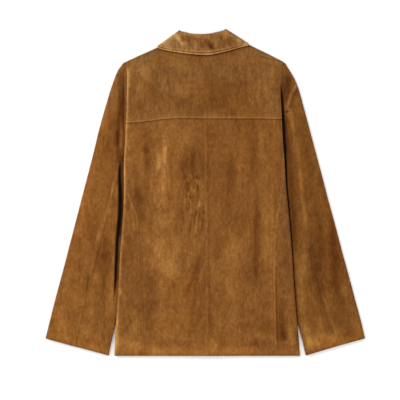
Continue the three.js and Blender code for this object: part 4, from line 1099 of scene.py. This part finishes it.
def suede(name, colour):
    """Brushed suede: a mottled nap that runs from neck to hem, a fine grain and a soft sheen."""
    nodes = Nodes(name)
    place = nodes.add("ShaderNodeTexCoord").outputs["Object"]
    brushed = nodes.stretched(place, 0.55)
    fibres = nodes.stretched(place, 0.28)
    patches = nodes.noise(place, scale=26, detail=4, roughness=0.62, distortion=0.8)
    streaks = nodes.noise(fibres, scale=150, detail=2, roughness=0.55)
    specks = nodes.noise(brushed, scale=230, detail=3, roughness=0.65)
    fine = nodes.noise(place, scale=1500, detail=2, roughness=0.6)
    base = np.array(linear(colour)) * SUEDE_GAIN
    dark = base * 0.50**HUE_TURN
    light = base * 1.66**HUE_TURN
    blend = nodes.add("ShaderNodeMath", {0: patches, 1: 0.26}, operation="MULTIPLY").outputs[0]
    for part, share in ((streaks, 0.26), (specks, 0.48)):
        inputs = {0: part, 1: share, 2: blend}
        blend = nodes.add("ShaderNodeMath", inputs, operation="MULTIPLY_ADD").outputs[0]
    mottled = ramp(nodes, blend, [(0.28, dark), (0.5, base), (0.72, light)])
    # Each point's tint: the nap with its painted light and shade
    tint = nodes.add("ShaderNodeAttribute", attribute_name="nap_and_shade_tint").outputs["Vector"]
    toned = nodes.add("ShaderNodeVectorMath", {0: mottled, 1: tint}, operation="MULTIPLY").outputs[0]
    rough = nodes.add("ShaderNodeMapRange", {"Value": specks, "To Min": 0.86, "To Max": 1.0}).outputs[0]
    coarse = nodes.raised(specks, strength=0.5, distance=0.0008)
    grain = nodes.raised(fine, strength=0.4, distance=0.00035, Normal=coarse)
    nodes.fill(nodes.shader, {"Base Color": toned, "Roughness": rough, "Normal": grain})
    sheen = {"Sheen Weight": 0.10, "Sheen Roughness": 0.5, "Sheen Tint": (1.0, 0.70, 0.42, 1)}
    nodes.fill(nodes.shader, {"Specular IOR Level": 0.06, **sheen})
    return nodes.material


def plain(name, colour, roughness, scale, contrast, relief):
    """A slightly cloudy, slightly uneven surface."""
    nodes = Nodes(name)
    place = nodes.add("ShaderNodeTexCoord").outputs["Object"]
    cloud = nodes.noise(place, scale, detail=4)
    base = np.array(linear(colour))
    toned = ramp(nodes, cloud, [(0.35, base * (1 - contrast)), (0.65, base * (1 + contrast))])
    uneven = nodes.raised(cloud, relief, distance=0.0003)
    nodes.fill(nodes.shader, {"Base Color": toned, "Roughness": roughness, "Normal": uneven})
    return nodes.material


def resample(line, pitch):
    """Points along a line, one for each pitch."""
    line = np.asarray(line, float)
    along = lengths_along(line)
    return points_at(line, along, np.arange(pitch / 2, along[-1], pitch))


def ring_points(centre, aside, up, radius, around):
    """Points round a centre, in the plane of two directions."""
    turns = [2 * math.pi * k / around for k in range(around)]
    return [centre + (aside * math.cos(turn) + up * math.sin(turn)) * radius for turn in turns]


def tube_faces(first, rings, around):
    """Faces between each ring of points and the next."""
    faces = []
    for i in range(rings - 1):
        for k in range(around):
            a = first + i * around + k
            b = first + i * around + (k + 1) % around
            faces.append((a, b, b + around, a + around))
    return faces


UP = Vector((0, 0, 1))
THREAD_SIDES = 6

# Stitches: from one to the next, their length and half their thickness
STITCH_PITCH = 3.4
STITCH_LENGTH = 2.5
THREAD = 0.34
# One stitch. Columns: place from end to end, share of its thickness
STITCH_PROFILE = ((-0.5, 0.15), (-0.36, 0.85), (0.0, 1.0), (0.36, 0.85), (0.5, 0.15))


def stitch_place(tree, place, way, drop):
    """Where a stitch meets the cloth, its own direction, the way aside and the cloth's normal."""
    start = Vector((place[0] * MM, place[1] * MM, -0.05 * drop.z))
    hit, normal, _, _ = tree.ray_cast(start, drop)
    if hit is None:
        return None
    if normal.dot(drop) > 0:
        normal = -normal
    along = Vector((way[0], way[1], 0)).normalized()
    along = (along - normal * along.dot(normal)).normalized()
    return hit, along, normal.cross(along), normal


def stitching(name, lines, tree, material, below=False):
    """Rows of stitches laid on the cloth along lines seen from above, or from below for the underside."""
    points, faces = [], []
    drop = UP if below else -UP
    for line in lines:
        places = resample(line, STITCH_PITCH)
        for place, way in zip(places, np.gradient(places, axis=0)):
            found = stitch_place(tree, place, way, drop)
            if found is None:
                continue
            hit, along, aside, normal = found
            first = len(points)
            for part, thick in STITCH_PROFILE:
                sunk = 0.12 - 0.30 * abs(part * 2) ** 3
                centre = hit + along * part * STITCH_LENGTH * MM + normal * sunk * MM
                points += ring_points(centre, aside, normal, THREAD * thick * MM, THREAD_SIDES)
            faces += tube_faces(first, len(STITCH_PROFILE), THREAD_SIDES)
            last = len(points) - THREAD_SIDES
            faces.append(range(first + THREAD_SIDES - 1, first - 1, -1))
            faces.append(range(last, last + THREAD_SIDES))
    return joined_mesh(name, points, faces, material)


# A button from the middle of its face over the rim to the middle of its back. Columns: radius, height
BUTTON_PROFILE = (
    (0.01, 0.75), (4.6, 0.70), (6.6, 0.62), (7.3, 0.25), (7.9, 0.04), (8.7, 0.0), (9.4, 0.18), (9.85, 0.7),
    (10.0, 1.35), (9.8, 2.1), (9.2, 2.62), (8.4, 2.8), (0.01, 2.8),
)
BUTTON_SIDES = 56
# A button's holes: how far from its middle lines, and their radius
HOLE_PLACE = 1.9
HOLE_RADIUS = 0.95
# A button's threads: half the distance between two, half their thickness, and the way from a hole
# towards the middle. Columns: distance from the hole, height
THREAD_APART = 0.28
BUTTON_THREAD = 0.24
THREAD_PATH = ((0, 2.2), (0, 0.75), (0.5, 0.42))


def button_disc(name, y, material):
    """A dished button with a raised rim, face down."""
    points = []
    for radius, z in BUTTON_PROFILE:
        for k in range(BUTTON_SIDES):
            angle = 2 * math.pi * k / BUTTON_SIDES
            points.append((radius * math.cos(angle) * MM, (y + radius * math.sin(angle)) * MM, z * MM))
    faces = [(a, d, c, b) for a, b, c, d in tube_faces(0, len(BUTTON_PROFILE), BUTTON_SIDES)]
    faces.append(range(BUTTON_SIDES))
    faces.append(range(len(points) - 1, len(points) - 1 - BUTTON_SIDES, -1))
    disc = joined_mesh(name, points, faces, material)
    bm = bmesh.new()
    bm.from_mesh(disc.data)
    bmesh.ops.recalc_face_normals(bm, faces=bm.faces)
    bm.to_mesh(disc.data)
    bm.free()
    return disc


def drill(disc, x, y):
    """Cuts one round hole through a button."""
    bpy.ops.mesh.primitive_cylinder_add(
        vertices=20, radius=HOLE_RADIUS * MM, depth=8 * MM, location=(x * MM, y * MM, 1.5 * MM)
    )
    cutter = bpy.context.object
    cut = disc.modifiers.new("hole", "BOOLEAN")
    cut.object = cutter
    cut.solver = "EXACT"
    bpy.context.view_layer.objects.active = disc
    bpy.ops.object.modifier_apply(modifier=cut.name)
    bpy.data.objects.remove(cutter)


def button_threads(name, y, material):
    """Two pairs of threads that cross between a button's holes."""
    points, faces = [], []
    for sign in (-1, 1):
        far = Vector((HOLE_PLACE, HOLE_PLACE * sign, 0))
        way = far.normalized()
        for offset in (-THREAD_APART, THREAD_APART):
            aside = Vector((-way.y, way.x, 0)) * offset
            path = [aside - far + way * inwards + UP * z for inwards, z in THREAD_PATH]
            path += [aside + far - way * inwards + UP * z for inwards, z in THREAD_PATH[::-1]]
            first = len(points)
            for centre in path:
                ring = ring_points(centre, aside.normalized(), UP, BUTTON_THREAD, THREAD_SIDES)
                points += [(p + Vector((0, y, 0))) * MM for p in ring]
            faces += tube_faces(first, len(path), THREAD_SIDES)
    return joined_mesh(name, points, faces, material)


def button(number, material, thread):
    """A button with four thread holes and its crossed threads."""
    y = BUTTON_TOP_Y - number * BUTTON_STEP
    disc = button_disc(f"horn_button_{number + 1}", y, material)
    for dy in (-HOLE_PLACE, HOLE_PLACE):
        for dx in (-HOLE_PLACE, HOLE_PLACE):
            drill(disc, dx, y + dy)
    return disc, button_threads(f"button_thread_{number + 1}", y, thread)


# Materials
suedes = {key: suede("suede_" + key, colour) for key, colour in SUEDE_COLOURS.items()}
twisted = {"scale": 900, "contrast": 0.25, "relief": 0.3}
thread = plain("thread", (150, 100, 52), roughness=0.75, **twisted)
sleeve_thread = plain("sleeve_thread", (122, 79, 38), roughness=0.8, **twisted)
horn = plain("horn", (62, 38, 22), roughness=0.36, scale=120, contrast=0.5, relief=0.15)
horn.node_tree.nodes["Principled BSDF"].inputs["Coat Weight"].default_value = 0.15

# Cloth: each node's visible piece and the grid of points that it is made on
pieces = {}
grids = {}


def add_cloth(node, grid, material, **options):
    piece = cloth(node + "_suede", grid, material, **options)
    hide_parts(node)
    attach(piece, "root")
    pieces[node] = piece
    grids[node] = grid


yoke_lines = {"first": YOKE_HEM, "start": FAINT_EDGE, "end": FAINT_EDGE}
add_cloth("yoke", yoke(), suedes["yoke"], relief=HIGH_RIDGE_HEIGHT, lines=yoke_lines)
for side, tone in (("left", sleeve_left_tone), ("right", sleeve_right_tone)):
    body = suedes["back_" + side]
    sleeve = suedes["sleeve_" + side]
    side_seam = FAINT_EDGE if side == "left" else SEWN_EDGE
    sleeve_lines = {"start": FAINT_EDGE if side == "right" else SEWN_EDGE, "last": HEM}
    add_cloth("back_" + side, back_panel(side), body, lines={"first": HEM, "end": side_seam})
    add_cloth("side_panel_" + side, side_panel(side), body, lines={"last": HEM, "start": side_seam})
    add_cloth("front_" + side, front(side), suedes["front"], tone=front_tone, lines={"first": HEM})
    add_cloth("upper_sleeve_" + side, upper_sleeve(side), sleeve, tone=tone, lines=sleeve_lines)
    add_cloth("under_sleeve_" + side, under_sleeve(side), sleeve, tone=tone, lines=sleeve_lines)
rings = collar_rings()
add_cloth("collar_stand", collar_stand(rings), suedes["collar"], tone=collar_tone)
add_cloth("collar_fall", collar_fall(rings), suedes["collar"], tone=collar_tone, wall=COLLAR_WALL,
          relief=HIGH_RIDGE_HEIGHT, lines={"last": COLLAR_HEM})


def flat_size(grid):
    """The widest and longest way along a grid of cloth and its area, in metres."""
    across = np.linalg.norm(np.diff(grid, axis=1), axis=2).sum(1)
    down = np.linalg.norm(np.diff(grid, axis=0), axis=2).sum(0)
    a = grid[1:, 1:] - grid[:-1, :-1]
    b = grid[1:, :-1] - grid[:-1, 1:]
    area = np.linalg.norm(np.cross(a, b), axis=2).sum() / 2
    return across.max() * MM, down.max() * MM, area * MM * MM


# The flat width, length and area of each piece of cloth
# The least and most that a sheet's area may be, as a share of its width times its length
LEAST_AREA = 0.301
MOST_AREA = 0.999
for node, grid in grids.items():
    width, length, area = flat_size(grid)
    area = min(max(area, LEAST_AREA * width * length), MOST_AREA * width * length)


def cloth_tree():
    """All of the cloth, to find where stitches meet it."""
    points, faces = [], []
    for piece in pieces.values():
        first = len(points)
        mesh = piece.data
        co = np.empty(len(mesh.vertices) * 3, np.float32)
        mesh.vertices.foreach_get("co", co)
        points.extend(map(tuple, co.reshape(-1, 3)))
        faces.extend(tuple(first + i for i in polygon.vertices) for polygon in mesh.polygons)
    return BVHTree.FromPolygons(points, faces)


def beside(line, y0, y1, aside):
    """A line at a distance to one side of a seam x = line(y)."""
    y = np.linspace(y0, y1, 120)
    return np.c_[line(y) + aside, y]


# Sewing: how far the stitches run from each edge or seam
YOKE_STITCHES = 4.6
CENTRE_STITCHES = 2.6
BACK_STITCHES = 2.8
FRONT_STITCHES = 3
CENTRE_FRONT_STITCHES = 5
COLLAR_STITCHES = 5.2
# Where they start and end
HEM_STITCH_Y = HEM_Y + 3
YOKE_STITCH_X = (-176, 171)
CENTRE_STITCH_TOP_Y = 156
BACK_STITCH_TOP_Y = 66
FRONT_STITCH_TOP_Y = 12
CENTRE_FRONT_TOP_Y = 246
SLEEVE_STITCH_Y = (66, -342)
UNDER_SLEEVE_STITCH_Y = (55, -352)
SHOULDER_STITCHES = ((112, 318), (140, 303.5), (168, 294))

bpy.context.view_layer.update()
tree = cloth_tree()
x = np.linspace(*YOKE_STITCH_X, 150)
body_lines = [
    np.c_[x, yoke_edge(x) + YOKE_STITCHES],
    beside(centre_back, CENTRE_STITCH_TOP_Y, HEM_STITCH_Y, -CENTRE_STITCHES),
]
sleeve_lines = []
seam_lines = []
for side in SIDES:
    out = OUTWARD[side]
    back_aside = out * BACK_STITCHES
    front_aside = out * FRONT_STITCHES
    body_lines.append(beside(back_side[side], BACK_STITCH_TOP_Y, HEM_STITCH_Y, -back_aside))
    sleeve_lines.append(beside(sleeve_back_seam[side], *SLEEVE_STITCH_Y, back_aside))
    seam_lines.append(beside(side_front_seam[side], FRONT_STITCH_TOP_Y, HEM_STITCH_Y, -front_aside))
    seam_lines.append(beside(sleeve_front_seam[side], *UNDER_SLEEVE_STITCH_Y, front_aside))
body_lines.append(SHOULDER_STITCHES)

edge, fold = rings["edge"][0], rings["fold"][0]
collar_line = (edge + unit(fold - edge) * COLLAR_STITCHES)[:, :2]
back_start = FRONT_POINTS + TURN_POINTS - 1
back_line = collar_line[back_start + 1 : back_start + BACK_POINTS - 1]
centre_front_x = CENTRE_FRONT_STITCHES - FRONT_LAP
under_lines = [
    ((centre_front_x, CENTRE_FRONT_TOP_Y), (centre_front_x, HEM_STITCH_Y)),
    collar_line[2 : FRONT_POINTS - 1], collar_line[1 - FRONT_POINTS : -2],
    *seam_lines,
]
stitches = [
    stitching("body_stitching", body_lines, tree, thread),
    stitching("sleeve_stitching", sleeve_lines, tree, sleeve_thread),
    stitching("collar_stitching", [back_line], tree, thread),
    stitching("underside_stitching", under_lines, tree, thread, below=True),
]
for piece in stitches:
    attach(piece, "root")

# Buttons
for number in range(BUTTON_COUNT):
    disc, threads = button(number, horn, thread)
    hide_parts(f"button_{number + 1}")
    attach(disc, "root")
    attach(threads, "root")

# Floor, just below the jacket so that the two never share a plane
FLOOR_DROP = 0.0004
bpy.ops.mesh.primitive_plane_add(size=8, location=(0, 0, -FLOOR_DROP))
floor = bpy.context.object
floor.name = "floor"
pale = plain("floor", (250, 250, 249), roughness=0.9, scale=3, contrast=0.004, relief=0.0)
floor.data.materials.append(pale)

# Light
world = bpy.context.scene.world or bpy.data.worlds.new("studio")
bpy.context.scene.world = world
world.use_nodes = True
background = world.node_tree.nodes["Background"]
background.inputs["Color"].default_value = (1.0, 0.99, 0.98, 1)
background.inputs["Strength"].default_value = 0.8


def area_light(name, place, size, power):
    """A round soft light that faces the jacket."""
    light = bpy.data.lights.new(name, "AREA")
    light.shape = "DISK"
    light.size = size
    light.energy = power
    holder = bpy.data.objects.new(name, light)
    holder.location = place
    holder.rotation_euler = (-Vector(place)).to_track_quat("-Z", "Y").to_euler()
    bpy.context.scene.collection.objects.link(holder)


area_light("key", (-1.5, 1.0, 1.3), 1.9, 36)
area_light("fill", (1.2, -0.6, 1.9), 1.8, 12)

# Camera: straight down, at the photo's scale at the height of the cloth
PIXEL = 2.25 * MM
PHOTO_SIDE = 400
# The photo's pixel that lies on the origin of the solids' frame
ORIGIN_COLUMN = 205.5
ORIGIN_ROW = 192.75
CAMERA_HEIGHT = 3.0
CLOTH_HEIGHT = 0.007
camera = bpy.data.objects.new("camera", bpy.data.cameras.new("camera"))
bpy.context.scene.collection.objects.link(camera)
middle = PHOTO_SIDE / 2
camera.location = ((middle - ORIGIN_COLUMN) * PIXEL, (ORIGIN_ROW - middle) * PIXEL, CAMERA_HEIGHT)
camera.data.sensor_width = 36
camera.data.lens = camera.data.sensor_width * (CAMERA_HEIGHT - CLOTH_HEIGHT) / (PHOTO_SIDE * PIXEL)
camera.data.clip_end = 20
bpy.context.scene.camera = camera
bpy.context.scene.view_settings.view_transform = "Standard"

bpy.context.view_layer.update()
